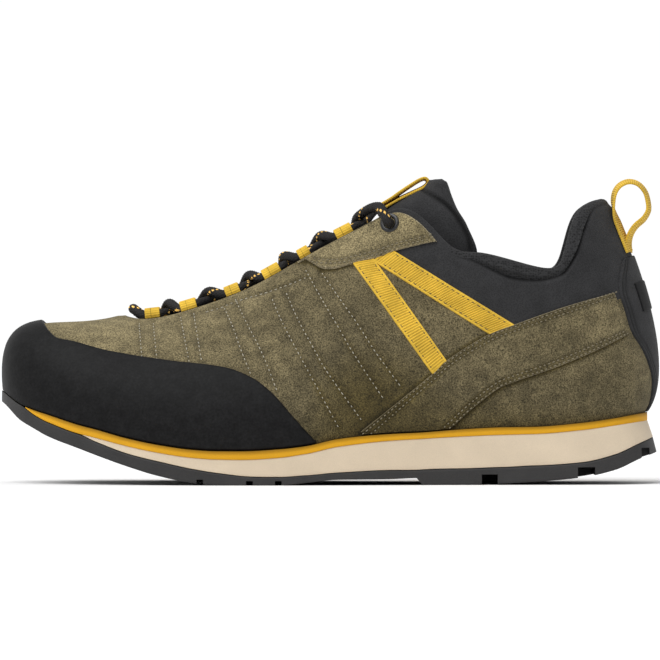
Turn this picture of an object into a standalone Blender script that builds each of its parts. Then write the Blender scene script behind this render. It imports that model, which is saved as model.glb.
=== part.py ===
# Approach shoe for the left foot. The toe points to -X, the outer side of the foot is -Y
# and the floor is z = 0. Lengths are in metres.
# Tables hold shares: "along" of LENGTH from the toe, "height" of HEEL_HEIGHT above the floor,
# sole heights of HEEL_STACK, and sideways lengths of half the ball width.

import math
from collections import namedtuple

import bpy
import numpy as np
from mathutils import Vector
from mathutils.bvhtree import BVHTree

# Driving sizes
LENGTH = 0.300
BALL_WIDTH = 0.104
HEEL_HEIGHT = 0.1305
HEEL_STACK = 0.028
GAP = 0.0003
OVERLAY_GAP = 0.0005

# Walls and layers
WALL = 0.0022
COLLAR_PAD = 0.0062
RAND_THICKNESS = 0.0020
OVERLAY_THICKNESS = 0.0012
STRAP_THICKNESS = 0.0010
PATCH_THICKNESS = 0.0008
TONGUE_THICKNESS = 0.0042
INSOLE_THICKNESS = 0.0040
WEBBING_THICKNESS = 0.0012

# Small parts
LACE_DIAMETER = 0.0043
LACE_SIDES = 6
LOOP_WIDTH = 0.0070
PULL_WIDTH = 0.0100
CROSSING_STEP = 1.45
LOOP_SLACK = 0.0007
LOOP_THICKNESS = 0.0010
LOOP_LIFT = 0.0013
EYELET_HOLE = 0.0050
EYELET_WIDTH = 0.0090
EYELET_RIM = 0.0006
GROOVE_WIDTH = 0.0030
GROOVE_DEPTH = 0.0020
CHANNEL_WIDTH = 0.0040

# How far each sole layer stands out beyond the upper, at the forefoot and at the heel
TOP_LAYER_MARGIN = 0.0030
MIDSOLE_MARGIN = 0.0027
OUTSOLE_MARGIN = 0.0030
TOP_LAYER_HEEL = 0.0020
MIDSOLE_HEEL = 0.0045
OUTSOLE_HEEL = 0.0062
INSOLE_INSET = 0.0012

HALF = BALL_WIDTH / 2

# Ribs run from the sole to the topline, on both sides of the foot, from toe to heel.
# foot_* is where a rib stands, top_* where it ends. swell and rise lead it away from the sole,
# shoulder and drop lead it into the topline; rise and drop are shares of the rib's own height.
# pad is the share of the collar's padding at its top.
Rib = namedtuple("Rib", "foot_along foot_lateral foot_medial top_along top_height "
                        "top_lateral top_medial swell rise shoulder drop pad")
RIBS = [
    Rib(0.012, -0.12, 0.12, 0.188, 0.592, -0.08, 0.08, 0.096, 1.25, 0.60, 0.28, 0),
    Rib(0.027, 0.270, 0.519, 0.194, 0.587, 0.038, 0.192, 0.100, 1.12, 0.54, 0.20, 0),
    Rib(0.076, 0.577, 0.750, 0.212, 0.580, 0.125, 0.260, 0.090, 0.84, 0.46, 0.15, 0),
    Rib(0.167, 0.798, 0.894, 0.250, 0.588, 0.192, 0.288, 0.085, 0.57, 0.365, 0.19, 0),
    Rib(0.273, 0.913, 0.942, 0.311, 0.627, 0.231, 0.298, 0.077, 0.42, 0.29, 0.19, 0),
    Rib(0.394, 0.942, 0.885, 0.397, 0.707, 0.269, 0.298, 0.077, 0.33, 0.25, 0.18, 0),
    Rib(0.500, 0.904, 0.740, 0.492, 0.829, 0.308, 0.308, 0.067, 0.33, 0.21, 0.20, 0),
    Rib(0.583, 0.827, 0.635, 0.576, 0.930, 0.365, 0.356, 0.058, 0.33, 0.154, 0.22, 0),
    Rib(0.633, 0.779, 0.596, 0.614, 0.953, 0.442, 0.423, 0.058, 0.33, 0.096, 0.26, 0.2),
    Rib(0.661, 0.750, 0.587, 0.642, 0.913, 0.510, 0.490, 0.058, 0.33, 0.07, 0.28, 0.6),
    Rib(0.689, 0.731, 0.577, 0.670, 0.843, 0.577, 0.558, 0.058, 0.33, 0.048, 0.30, 0.9),
    Rib(0.758, 0.702, 0.596, 0.724, 0.801, 0.644, 0.615, 0.058, 0.33, 0.038, 0.33, 1),
    Rib(0.841, 0.673, 0.635, 0.811, 0.752, 0.663, 0.635, 0.058, 0.33, 0.048, 0.33, 1),
    Rib(0.909, 0.615, 0.606, 0.857, 0.794, 0.625, 0.596, 0.070, 0.33, 0.060, 0.33, 1),
    Rib(0.950, 0.462, 0.471, 0.879, 0.930, 0.480, 0.471, 0.154, 0.25, 0.160, 0.30, 1),
    Rib(0.968, 0.240, 0.260, 0.903, 0.986, 0.260, 0.260, 0.250, 0.19, 0.240, 0.30, 1),
    Rib(0.974, -0.01, 0.01, 0.921, 1.000, 0.0, 0.0, 0.288, 0.18, 0.254, 0.28, 1),
]

# The sole in side view: its upper face, then the thickness of the yellow layer and of the
# foam, and how high the tread stands off the floor
SoleRow = namedtuple("SoleRow", "along top skirt foam lift")
SOLE = [
    SoleRow(-0.010, 1.560, 0.000, 0.000, 1.360),
    SoleRow(0.003, 1.505, 0.000, 0.000, 1.320),
    SoleRow(0.035, 1.279, 0.000, 0.000, 1.023),
    SoleRow(0.055, 1.193, 0.065, 0.000, 0.901),
    SoleRow(0.076, 1.123, 0.114, 0.000, 0.779),
    SoleRow(0.124, 0.958, 0.136, 0.000, 0.584),
    SoleRow(0.148, 0.893, 0.133, 0.054, 0.487),
    SoleRow(0.197, 0.747, 0.123, 0.114, 0.300),
    SoleRow(0.245, 0.641, 0.123, 0.136, 0.146),
    SoleRow(0.294, 0.568, 0.127, 0.174, 0.041),
    SoleRow(0.330, 0.545, 0.130, 0.211, 0.000),
    SoleRow(0.367, 0.544, 0.135, 0.255, 0.000),
    SoleRow(0.424, 0.576, 0.135, 0.304, 0.000),
    SoleRow(0.464, 0.625, 0.122, 0.341, 0.040),
    SoleRow(0.512, 0.739, 0.122, 0.411, 0.090),
    SoleRow(0.586, 0.815, 0.107, 0.464, 0.096),
    SoleRow(0.635, 0.839, 0.100, 0.490, 0.114),
    SoleRow(0.638, 0.841, 0.100, 0.490, 0.000),
    SoleRow(0.720, 0.905, 0.118, 0.514, 0.000),
    SoleRow(0.758, 0.922, 0.120, 0.515, 0.020),
    SoleRow(0.803, 0.928, 0.114, 0.503, 0.045),
    SoleRow(0.876, 0.990, 0.114, 0.515, 0.115),
    SoleRow(0.927, 1.063, 0.115, 0.461, 0.235),
    SoleRow(0.968, 1.136, 0.130, 0.330, 0.422),
    SoleRow(1.010, 1.180, 0.135, 0.210, 0.560),
]
TOP_LAYER_START = 0.042
MIDSOLE_START = 0.142
HEEL_BREAST = (0.6350, 0.6380)

# Side view edges of the pieces laid over the upper, as along and height
RAND_EDGE = [(0.061, 0.568), (0.069, 0.547), (0.080, 0.519), (0.092, 0.498), (0.114, 0.488),
             (0.168, 0.456), (0.255, 0.425), (0.342, 0.402), (0.384, 0.367), (0.415, 0.313),
             (0.439, 0.251), (0.458, 0.202), (0.479, 0.150)]
BAND_TOP = [(0.545, 0.183), (0.615, 0.310), (0.652, 0.380), (0.677, 0.432), (0.739, 0.519),
            (0.777, 0.552), (0.852, 0.613), (0.925, 0.660)]
BAND_BOTTOM = [(0.552, 0.176), (0.610, 0.181), (0.673, 0.190), (0.711, 0.259), (0.752, 0.331),
               (0.774, 0.352), (0.835, 0.401), (0.900, 0.463), (0.943, 0.512)]
EYESTAY_EDGE = [(0.440, 0.800), (0.467, 0.752), (0.485, 0.750), (0.495, 0.738), (0.518, 0.749),
                (0.542, 0.763), (0.574, 0.780), (0.601, 0.805), (0.636, 0.826),
                (0.664, 0.840)]
EYESTAY_ALONG = (0.452, 0.662)
BACKSTAY_EDGE = [(0.974, 0.251), (0.981, 0.293), (0.983, 0.359), (0.977, 0.414),
                 (0.968, 0.463), (0.951, 0.521), (0.941, 0.599), (0.932, 0.669),
                 (0.938, 0.728)]

# Webbing straps: the corners of each in side view, upper front, upper back, then the feet
Strap = namedtuple("Strap", "name top_front top_back foot_front foot_back")
STRAPS = [
    Strap("strap_steep", (0.540, 0.742), (0.574, 0.754), (0.650, 0.387), (0.673, 0.432)),
    Strap("strap_shallow", (0.578, 0.748), (0.603, 0.796), (0.734, 0.523), (0.772, 0.557)),
]

# Lace loops along the throat and their length there as a share of LOOP_WIDTH
LOOPS = [(0.232, 1.0), (0.288, 1.1), (0.355, 1.0), (0.415, 1.25), (0.464, 0.8), (0.524, 1.2)]
LACE_BAR = 0.200
EYELET_PLACE = (0.591, 0.899)

# Tongue above the throat: its ridge and its side edge in side view, and its half width
TongueRow = namedtuple("TongueRow", "ridge_along ridge_height side_along side_height half")
TONGUE_TOP = [
    TongueRow(0.585, 0.948, 0.722, 0.790, 0.42),
    TongueRow(0.614, 0.990, 0.706, 0.895, 0.42),
    TongueRow(0.640, 1.019, 0.690, 0.960, 0.40),
    TongueRow(0.654, 1.048, 0.677, 1.040, 0.37),
]
TONGUE_FRONT = 0.202
TONGUE_BACK = 0.560
TONGUE_SINK = 0.0028

# Pull loops in side view
TONGUE_PULL = [(0.574, 0.952), (0.5925, 0.978), (0.611, 1.000), (0.638, 1.034), (0.6455, 1.054),
               (0.643, 1.0615), (0.625, 1.045), (0.607, 1.017)]
HEEL_PULL = [(0.9585, 0.790), (0.9515, 0.835), (0.9445, 0.873), (0.938, 0.910), (0.9315, 0.945),
             (0.928, 0.978), (0.931, 1.014), (0.943, 1.043), (0.956, 1.056), (0.971, 1.042),
             (0.981, 1.003), (0.983, 0.961), (0.978, 0.928), (0.970, 0.893), (0.965, 0.855),
             (0.9655, 0.815)]

# Lug grooves: start, end and depth as a share of HEEL_STACK, across the whole sole
Groove = namedtuple("Groove", "start end depth")
HEEL_GROOVES = [Groove(0.727, 0.751, 0.160), Groove(0.871, 0.897, 0.155),
                Groove(0.968, 0.981, 0.140)]
# Forefoot grooves: place, and how far each reaches to the sides
FOREFOOT_GROOVES = [(0.105, 0.42), (0.160, 0.60), (0.215, 0.66), (0.306, 1.2), (0.380, 1.2),
                    (0.423, 1.2)]
Channel = namedtuple("Channel", "start end side")
CHANNELS = [Channel(0.130, 0.440, -0.30), Channel(0.130, 0.440, 0.34),
            Channel(0.655, 0.940, 0.0)]

COLOURS = {
    "suede": ((0.16, 0.14, 0.08), 0.95),
    "neoprene": ((0.012, 0.012, 0.013), 0.85),
    "rubber": ((0.02, 0.02, 0.021), 0.6),
    "foam": ((0.62, 0.55, 0.42), 0.7),
    "yellow": ((0.75, 0.42, 0.03), 0.7),
}


def x_at(along):
    return (along - 0.5) * LENGTH


def monotone(points):
    # Smooth curve through the points that never overshoots them
    xs = np.array([p[0] for p in points], dtype=float)
    ys = np.array([p[1] for p in points], dtype=float)
    step = np.diff(xs)
    slope = np.diff(ys) / step
    tangent = np.zeros(len(xs))
    for i in range(1, len(xs) - 1):
        if slope[i - 1] * slope[i] > 0:
            before = 2 * step[i] + step[i - 1]
            after = step[i] + 2 * step[i - 1]
            tangent[i] = (before + after) / (before / slope[i - 1] + after / slope[i])
    tangent[0] = slope[0]
    tangent[-1] = slope[-1]

    def curve(x):
        x = np.clip(np.asarray(x, dtype=float), xs[0], xs[-1])
        i = np.clip(np.searchsorted(xs, x, side="right") - 1, 0, len(step) - 1)
        t = (x - xs[i]) / step[i]
        return ((2 * t**3 - 3 * t**2 + 1) * ys[i] + (t**3 - 2 * t**2 + t) * step[i] * tangent[i]
                + (3 * t**2 - 2 * t**3) * ys[i + 1] + (t**3 - t**2) * step[i] * tangent[i + 1])

    return curve


def smooth_path(points, per_span):
    # Points along a smooth line through the given ones
    points = np.array(points, dtype=float)
    chord = np.linalg.norm(np.diff(points, axis=0), axis=1)[:, None]
    ahead = np.diff(points, axis=0) / chord
    tangent = np.vstack([ahead[:1], np.zeros_like(points[1:-1]), ahead[-1:]])
    tangent[1:-1] = ((points[2:] - points[:-2]) / (chord[1:] + chord[:-1]))
    path = []
    for i in range(len(points) - 1):
        for t in np.arange(per_span) / per_span:
            path.append((2 * t**3 - 3 * t**2 + 1) * points[i]
                        + (t**3 - 2 * t**2 + t) * chord[i] * tangent[i]
                        + (3 * t**2 - 2 * t**3) * points[i + 1]
                        + (t**3 - t**2) * chord[i] * tangent[i + 1])
    path.append(points[-1])
    return np.array(path)


def side_curve(points):
    # Height in metres of a side view edge, as a function of x in metres
    return monotone([(x_at(along), height * HEEL_HEIGHT) for along, height in points])


def sole_curve(column):
    return monotone([(x_at(row.along), getattr(row, column) * HEEL_STACK) for row in SOLE])


sole_top = sole_curve("top")
skirt = sole_curve("skirt")
foam = sole_curve("foam")
lift = sole_curve("lift")


def closed_spline(knots, values, period):
    # Cubic spline through the values that closes on itself
    count = len(knots)
    step = np.append(np.diff(knots), period - knots[-1] + knots[0])
    matrix = np.zeros((count, count))
    right = np.zeros((count, values.shape[1]))
    for i in range(count):
        before, after = (i - 1) % count, (i + 1) % count
        matrix[i, before] += step[before]
        matrix[i, i] += 2 * (step[before] + step[i])
        matrix[i, after] += step[i]
        right[i] = 6 * ((values[after] - values[i]) / step[i]
                        - (values[i] - values[before]) / step[before])
    bend = np.linalg.solve(matrix, right)

    def curve(u):
        u = np.mod(np.asarray(u, dtype=float), period)
        i = np.searchsorted(knots, u, side="right") - 1
        j = (i + 1) % count
        h = step[i][:, None]
        t = (u - knots[i])[:, None]
        s = h - t
        return (bend[i] * s**3 / (6 * h) + bend[j] * t**3 / (6 * h)
                + (values[i] / h - bend[i] * h / 6) * s + (values[j] / h - bend[j] * h / 6) * t)

    return curve


def rib_sides():
    # Ribs in order round the foot: toe, outer side, heel, inner side
    sides = [(rib, -1, rib.foot_lateral, rib.top_lateral) for rib in RIBS[1:-1]]
    inner = [(rib, 1, rib.foot_medial, rib.top_medial) for rib in reversed(RIBS[1:-1])]
    toe = (RIBS[0], 1, 0.115, 0.077)
    heel = (RIBS[-1], 1, 0.010, 0.0)
    return [toe] + sides + [heel] + inner


def rib_feet():
    return np.array([(x_at(rib.foot_along), sign * foot * HALF)
                     for rib, sign, foot, top in rib_sides()])


def rib_knots():
    feet = rib_feet()
    chords = np.linalg.norm(np.roll(feet, -1, axis=0) - feet, axis=1)
    knots = np.concatenate([[0.0], np.cumsum(chords)])
    return knots[:-1] / knots[-1]


def rib_values():
    # Four control points and the padding of every rib
    feet = rib_feet()
    ahead = np.roll(feet, -1, axis=0) - np.roll(feet, 1, axis=0)
    rows = []
    for i, (rib, sign, foot, top) in enumerate(rib_sides()):
        x, y = feet[i]
        outward = np.array([ahead[i][1], -ahead[i][0]])
        outward /= np.linalg.norm(outward)
        z = float(sole_top(x)) + GAP
        rim = (WALL + (COLLAR_PAD - WALL) * rib.pad) / 2
        end = np.array([x_at(rib.top_along), sign * top * HALF, rib.top_height * HEEL_HEIGHT - rim])
        rise = end[2] - z
        away = feet[i] - end[:2]
        away /= np.linalg.norm(away)
        start = np.array([x, y, z])
        first = start + np.append(outward * rib.swell * HALF, rib.rise * rise)
        second = end + np.append(away * rib.shoulder * HALF, -rib.drop * rise)
        rows.append(np.concatenate([start, first, second, end, [rib.pad]]))
    return np.array(rows)


KNOTS = rib_knots()
rib_spline = closed_spline(KNOTS, rib_values(), 1.0)
HEEL_U = float(KNOTS[len(RIBS) - 1])


def upper_surface(u, v):
    # Outer face of the upper: u runs round the foot from the toe, v from the sole to the topline
    u, v = np.broadcast_arrays(np.asarray(u, dtype=float), np.asarray(v, dtype=float))
    shape = u.shape
    rib = rib_spline(u.ravel())
    v = v.ravel()[:, None]
    point = ((1 - v)**3 * rib[:, 0:3] + 3 * (1 - v)**2 * v * rib[:, 3:6]
             + 3 * (1 - v) * v**2 * rib[:, 6:9] + v**3 * rib[:, 9:12])
    seat = sole_top(rib[:, 0]) + GAP - rib[:, 2]
    point[:, 2] += seat * (1 - v[:, 0])**2
    return point.reshape(shape + (3,))


def upper_normal(u, v):
    step = 1e-4
    low = np.clip(np.asarray(v) - step, 0, 1)
    high = np.clip(np.asarray(v) + step, 0, 1)
    around = upper_surface(np.asarray(u) + step, v) - upper_surface(np.asarray(u) - step, v)
    upward = upper_surface(u, high) - upper_surface(u, low)
    normal = np.cross(around, upward)
    return normal / np.linalg.norm(normal, axis=-1, keepdims=True)


def wall_at(u, v):
    # The wall, thickened by the collar's padding towards its rim
    u, v = np.broadcast_arrays(np.asarray(u, dtype=float), np.asarray(v, dtype=float))
    pad = np.clip(rib_spline(u.ravel())[:, 12].reshape(u.shape), 0, 1)
    blend = np.clip((v - 0.5) / 0.4, 0, 1)
    return WALL + (COLLAR_PAD - WALL) * pad * blend * blend * (3 - 2 * blend)


def keep_above_sole(points):
    # Lifts points that an offset took into the sole
    points = np.array(points)
    points[..., 2] = np.maximum(points[..., 2], sole_top(points[..., 0]) + GAP)
    return points


def topline_u(along, side):
    # Where the rib that ends at this place along the topline stands, on one side of the foot
    samples = np.linspace(0, HEEL_U, 600) if side < 0 else np.linspace(1, HEEL_U, 600)
    tops = upper_surface(samples, 1.0)[:, 0]
    order = np.argsort(tops)
    return np.interp(x_at(np.asarray(along)), tops[order], samples[order])


def edge_v(u, curve, start, stop):
    # How far up each rib a side view edge crosses it
    v = np.linspace(start, stop, 120)
    points = upper_surface(np.asarray(u)[:, None], v[None, :])
    above = points[..., 2] - curve(points[..., 0])
    result = []
    for row in above:
        crossing = np.argmax(row > 0) if (row > 0).any() else len(v) - 1
        if crossing == 0:
            result.append(v[0])
            continue
        share = row[crossing - 1] / (row[crossing - 1] - row[crossing])
        result.append(v[crossing - 1] + np.clip(share, 0, 1) * (v[1] - v[0]))
    return np.array(result)


def material(name):
    found = bpy.data.materials.get(name)
    if found:
        return found
    colour, roughness = COLOURS[name]
    made = bpy.data.materials.new(name)
    made.use_nodes = True
    shader = made.node_tree.nodes["Principled BSDF"]
    shader.inputs["Base Color"].default_value = (*colour, 1)
    shader.inputs["Roughness"].default_value = roughness
    shader.inputs["Metallic"].default_value = 0
    made.diffuse_color = (*colour, 1)
    return made


def make_object(name, vertices, faces, slot):
    mesh = bpy.data.meshes.new(name)
    mesh.from_pydata([tuple(map(float, vertex)) for vertex in vertices], [], faces)
    mesh.validate()
    mesh.shade_smooth()
    mesh.set_sharp_from_angle(angle=math.radians(40))
    made = bpy.data.objects.new(name, mesh)
    bpy.context.collection.objects.link(made)
    mesh.materials.append(material(slot))
    return made


def from_rings(name, rings, slot, closed):
    # Solid through closed section loops; open ends are closed by strips across the section
    count, size = rings.shape[0], rings.shape[1]
    faces = []
    for i in range(count if closed else count - 1):
        j = (i + 1) % count
        for k in range(size):
            m = (k + 1) % size
            faces.append((i * size + k, j * size + k, j * size + m, i * size + m))
    if not closed:
        last = (count - 1) * size
        for k in range(size // 2 - 1):
            strip = (k, k + 1, size - 2 - k, size - 1 - k)
            faces.append(strip)
            faces.append(tuple(last + index for index in reversed(strip)))
        if size % 2:
            middle = (size // 2 - 1, size // 2, size // 2 + 1)
            faces.append(middle)
            faces.append(tuple(last + index for index in reversed(middle)))
    return make_object(name, rings.reshape(-1, 3), faces, slot)


def grid_normals(grid):
    # Unit normals of an open grid of points
    normal = np.cross(np.gradient(grid, axis=0), np.gradient(grid, axis=1))
    return normal / np.linalg.norm(normal, axis=-1, keepdims=True)


def skin(name, grid, inner, outer, slot):
    # Sheet between two distances off a grid of points
    normals = grid_normals(grid)
    if inner >= 0:
        low = keep_above_sole(grid + normals * inner)
        high = keep_above_sole(grid + normals * outer)
    else:
        low, high = grid + normals * inner, grid + normals * outer
    rings = np.concatenate([high, low[:, ::-1]], axis=1)
    return from_rings(name, rings, slot, closed=False)


def strip_along(name, path, width, thickness, slot):
    # Flat webbing swept along a path in the XZ plane, its width along Y
    tangent = np.gradient(path, axis=0)
    tangent /= np.linalg.norm(tangent, axis=1, keepdims=True)
    normal = np.stack([-tangent[:, 2], np.zeros(len(path)), tangent[:, 0]], axis=1)
    across = np.array([0, width / 2, 0])
    up = normal * thickness / 2
    rings = np.stack([path + up - across, path + up + across,
                      path - up + across, path - up - across], axis=1)
    return from_rings(name, rings, slot, closed=False)


def outline(margin, heel_margin):
    # Plan outline at a margin round the foot of the upper, as its outer and inner halves
    u = np.linspace(0, 1, 721)[:-1]
    foot = upper_surface(u, 0.0)[:, :2]
    ahead = np.roll(foot, -1, axis=0) - np.roll(foot, 1, axis=0)
    outward = np.stack([ahead[:, 1], -ahead[:, 0]], axis=1)
    outward /= np.linalg.norm(outward, axis=1, keepdims=True)
    blend = np.clip((foot[:, 0] - x_at(0.85)) / (x_at(0.97) - x_at(0.85)), 0, 1)
    blend = blend * blend * (3 - 2 * blend)
    points = foot + outward * (margin + (heel_margin - margin) * blend)[:, None]
    tip = int(np.argmin(points[:, 0]))
    points = np.roll(points, -tip, axis=0)
    heel = int(np.argmax(points[:, 0]))
    outer_half = points[:heel + 1]
    inner_half = np.vstack([points[heel:], points[:1]])[::-1]
    return outer_half, inner_half


def sole_stations(extra=()):
    # Shares along a sole layer, closer together at its two ends
    turns = np.linspace(0.06, math.pi - 0.05, 34)
    shares = (1 - np.cos(turns)) / 2
    return np.sort(np.concatenate([shares, np.asarray(extra, dtype=float)]))


def outline_at(halves, shares, start):
    # Points of an outline at shares of its length, as x, outer y and inner y
    outer_half, inner_half = halves
    low = max(outer_half[0, 0], start)
    x = low + (outer_half[-1, 0] - low) * shares
    return x, np.interp(x, outer_half[:, 0], outer_half[:, 1]), \
        np.interp(x, inner_half[:, 0], inner_half[:, 1])


def sole_layer(name, upper_face, lower_face, top_outline, bottom_outline, slot,
               start=-1.0, extra=()):
    # Layer of the sole between two side view curves and two plan outlines
    shares = sole_stations(extra)
    top_x, top_outer, top_inner = outline_at(top_outline, shares, start)
    low_x, low_outer, low_inner = outline_at(bottom_outline, shares, start)
    top_z, low_z = upper_face(top_x), lower_face(low_x)
    rings = np.stack([np.stack([top_x, top_outer, top_z], axis=1),
                      np.stack([top_x, top_inner, top_z], axis=1),
                      np.stack([low_x, low_inner, low_z], axis=1),
                      np.stack([low_x, low_outer, low_z], axis=1)], axis=1)
    return from_rings(name, rings, slot, closed=False)


def box_cutter(name, low, high):
    corners = [(x, y, z) for x in (low[0], high[0]) for y in (low[1], high[1])
               for z in (low[2], high[2])]
    faces = [(0, 1, 3, 2), (4, 6, 7, 5), (0, 4, 5, 1), (2, 3, 7, 6), (0, 2, 6, 4), (1, 5, 7, 3)]
    cutter = make_object(name, corners, faces, "rubber")
    cutter.hide_render = True
    cutter.display_type = "WIRE"
    return cutter


def cut(target, cutter, operation="DIFFERENCE"):
    modifier = target.modifiers.new(cutter.name, "BOOLEAN")
    modifier.object = cutter
    modifier.operation = operation
    modifier.solver = "MANIFOLD"


def layer_bottom(x):
    return sole_top(x) - skirt(x)


def foam_bottom(x):
    return layer_bottom(x) - foam(x)


def make_sole():
    top_edge = outline(TOP_LAYER_MARGIN, TOP_LAYER_HEEL)
    foam_edge = outline(MIDSOLE_MARGIN, TOP_LAYER_HEEL)
    foam_foot = outline(MIDSOLE_MARGIN, MIDSOLE_HEEL)
    tread_edge = outline(OUTSOLE_MARGIN, MIDSOLE_HEEL)
    tread_foot = outline(OUTSOLE_MARGIN, OUTSOLE_HEEL)
    sole_layer("midsole_top_layer", sole_top, layer_bottom, top_edge, top_edge, "yellow",
               start=x_at(TOP_LAYER_START))
    sole_layer("midsole", lambda x: layer_bottom(x) - GAP, foam_bottom, foam_edge, foam_foot,
               "foam", start=x_at(MIDSOLE_START))
    span = tread_edge[0][-1, 0] - tread_edge[0][0, 0]
    breast = [(x_at(along) - tread_edge[0][0, 0]) / span for along in HEEL_BREAST]
    outsole = sole_layer("outsole", lambda x: foam_bottom(x) - GAP, lift, tread_edge,
                         tread_foot, "rubber", extra=breast)
    cut_lugs(outsole)


def cut_lugs(outsole):
    side = BALL_WIDTH
    for i, groove in enumerate(HEEL_GROOVES):
        middle = x_at((groove.start + groove.end) / 2)
        roof = float(lift(middle)) + groove.depth * HEEL_STACK
        cut(outsole, box_cutter(f"heel_groove_{i}", (x_at(groove.start), -side, -side),
                                (x_at(groove.end), side, roof)))
    for i, (along, reach) in enumerate(FOREFOOT_GROOVES):
        roof = float(lift(x_at(along))) + GROOVE_DEPTH
        cut(outsole, box_cutter(f"forefoot_groove_{i}",
                                (x_at(along) - GROOVE_WIDTH / 2, -reach * HALF, -side),
                                (x_at(along) + GROOVE_WIDTH / 2, reach * HALF, roof)))
    for i, channel in enumerate(CHANNELS):
        x = np.linspace(x_at(channel.start), x_at(channel.end), 9)
        roof = lift(x) + GROOVE_DEPTH
        left = np.full_like(x, channel.side * HALF - CHANNEL_WIDTH / 2)
        right = left + CHANNEL_WIDTH
        floor = np.full_like(x, -side)
        rings = np.stack([np.stack([x, left, roof], axis=1), np.stack([x, right, roof], axis=1),
                          np.stack([x, right, floor], axis=1),
                          np.stack([x, left, floor], axis=1)], axis=1)
        cutter = from_rings(f"channel_{i}", rings, "rubber", closed=False)
        cutter.hide_render = True
        cutter.display_type = "WIRE"
        cut(outsole, cutter)


def make_insole():
    edge = outline(-WALL - INSOLE_INSET, -WALL - INSOLE_INSET)
    sole_layer("insole", lambda x: sole_top(x) + GAP + INSOLE_THICKNESS,
               lambda x: sole_top(x) + GAP, edge, edge, "neoprene")


def make_upper():
    around = np.linspace(0, 1, 73)[:-1]
    up = np.array([0, 0.1, 0.22, 0.36, 0.5, 0.64, 0.78, 0.9, 1.0])
    u, v = np.meshgrid(around, up, indexing="ij")
    outer = upper_surface(u, v)
    normal = upper_normal(u, v)
    inner = outer - normal * wall_at(u, v)[..., None]
    inner[:, 0, 2] = outer[:, 0, 2]
    inner = keep_above_sole(inner)
    upward = outer[:, -1] - outer[:, -2]
    across = inner[:, -1] - outer[:, -1]
    upward -= across * (np.sum(upward * across, axis=1) / np.sum(across**2, axis=1))[:, None]
    upward /= np.linalg.norm(upward, axis=1, keepdims=True)
    radius = np.linalg.norm(across, axis=1, keepdims=True) / 2
    middle = (outer[:, -1] + inner[:, -1]) / 2
    rim = [middle - across / 2 * math.cos(turn) + upward * radius * math.sin(turn)
           for turn in (math.pi / 4, math.pi / 2, 3 * math.pi / 4)]
    rings = np.concatenate([outer, np.stack(rim, axis=1), inner[:, ::-1]], axis=1)
    return from_rings("upper", rings, "suede", closed=True)


def make_rand():
    edge = side_curve(RAND_EDGE)
    tip = x_at(RAND_EDGE[0][0])

    def top_edge(x):
        return np.where(x < tip, HEEL_HEIGHT, edge(x))

    last = x_at(RAND_EDGE[-1][0])
    samples = np.linspace(0, 1, 1441)[:-1]
    feet = upper_surface(samples, 0.0)[:, 0]
    outer_end = samples[(samples < HEEL_U) & (feet < last)].max()
    inner_end = samples[(samples > HEEL_U) & (feet < last)].min() - 1
    around = np.linspace(inner_end, outer_end, 45)
    top = np.maximum(edge_v(around, top_edge, 0.01, 0.95), 0.02)
    v = top[:, None] * np.linspace(0, 1, 6)[None, :]
    grid = upper_surface(np.repeat(around[:, None], 6, axis=1), v)
    skin("toe_rand", grid, OVERLAY_GAP, OVERLAY_GAP + RAND_THICKNESS, "rubber")


def make_eyestay(side, label):
    edge = side_curve(EYESTAY_EDGE)
    around = topline_u(np.linspace(*EYESTAY_ALONG, 12), side)
    low = edge_v(around, edge, 0.4, 0.985)
    low = np.minimum(low, 0.955)
    v = low[:, None] + (0.985 - low)[:, None] * np.linspace(0, 1, 4)[None, :]
    grid = upper_surface(np.repeat(around[:, None], 4, axis=1), v)
    if side > 0:
        grid = grid[::-1]
    return skin(f"eyestay_{label}", grid, OVERLAY_GAP, OVERLAY_GAP + OVERLAY_THICKNESS, "suede")


def make_backstay():
    top = BACKSTAY_EDGE[-1][1] * HEEL_HEIGHT
    reach = edge_v([HEEL_U], lambda x: np.full_like(x, top), 0.3, 1.0)[0]
    heights = np.linspace(0.0, reach, 12)
    edge_x = monotone([(height * HEEL_HEIGHT, x_at(along)) for along, height in BACKSTAY_EDGE])
    grid = []
    for v in heights:
        row = []
        for side in (-1, 1):
            turns = np.linspace(0, 0.12, 60) * side
            points = upper_surface(HEEL_U + turns, v)
            ahead = points[:, 0] - edge_x(points[:, 2])
            row.append(turns[max(int(np.argmax(ahead < 0)) - 1, 6)])
        grid.append(upper_surface(HEEL_U + np.linspace(row[0], row[1], 7), v))
    grid = np.array(grid).transpose(1, 0, 2)
    skin("backstay", grid, OVERLAY_GAP, OVERLAY_GAP + OVERLAY_THICKNESS, "neoprene")


def make_patch():
    across = np.linspace(-0.018, 0.018, 5)
    v = np.linspace(0.52, 0.64, 4)
    u, v = np.meshgrid(HEEL_U + across, v, indexing="ij")
    base = OVERLAY_GAP + OVERLAY_THICKNESS + GAP
    skin("heel_patch", upper_surface(u, v), base, base + PATCH_THICKNESS, "neoprene")


def side_tree():
    # Fine copy of the upper's outer face, to lay side view shapes on
    u = np.linspace(0, 1, 289)
    v = np.linspace(0, 1, 49)
    points = upper_surface(u[:, None], v[None, :])
    faces = [(i * 49 + j, (i + 1) * 49 + j, (i + 1) * 49 + j + 1, i * 49 + j + 1)
             for i in range(288) for j in range(48)]
    return BVHTree.FromPolygons([tuple(map(float, p)) for p in points.reshape(-1, 3)], faces)


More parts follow.
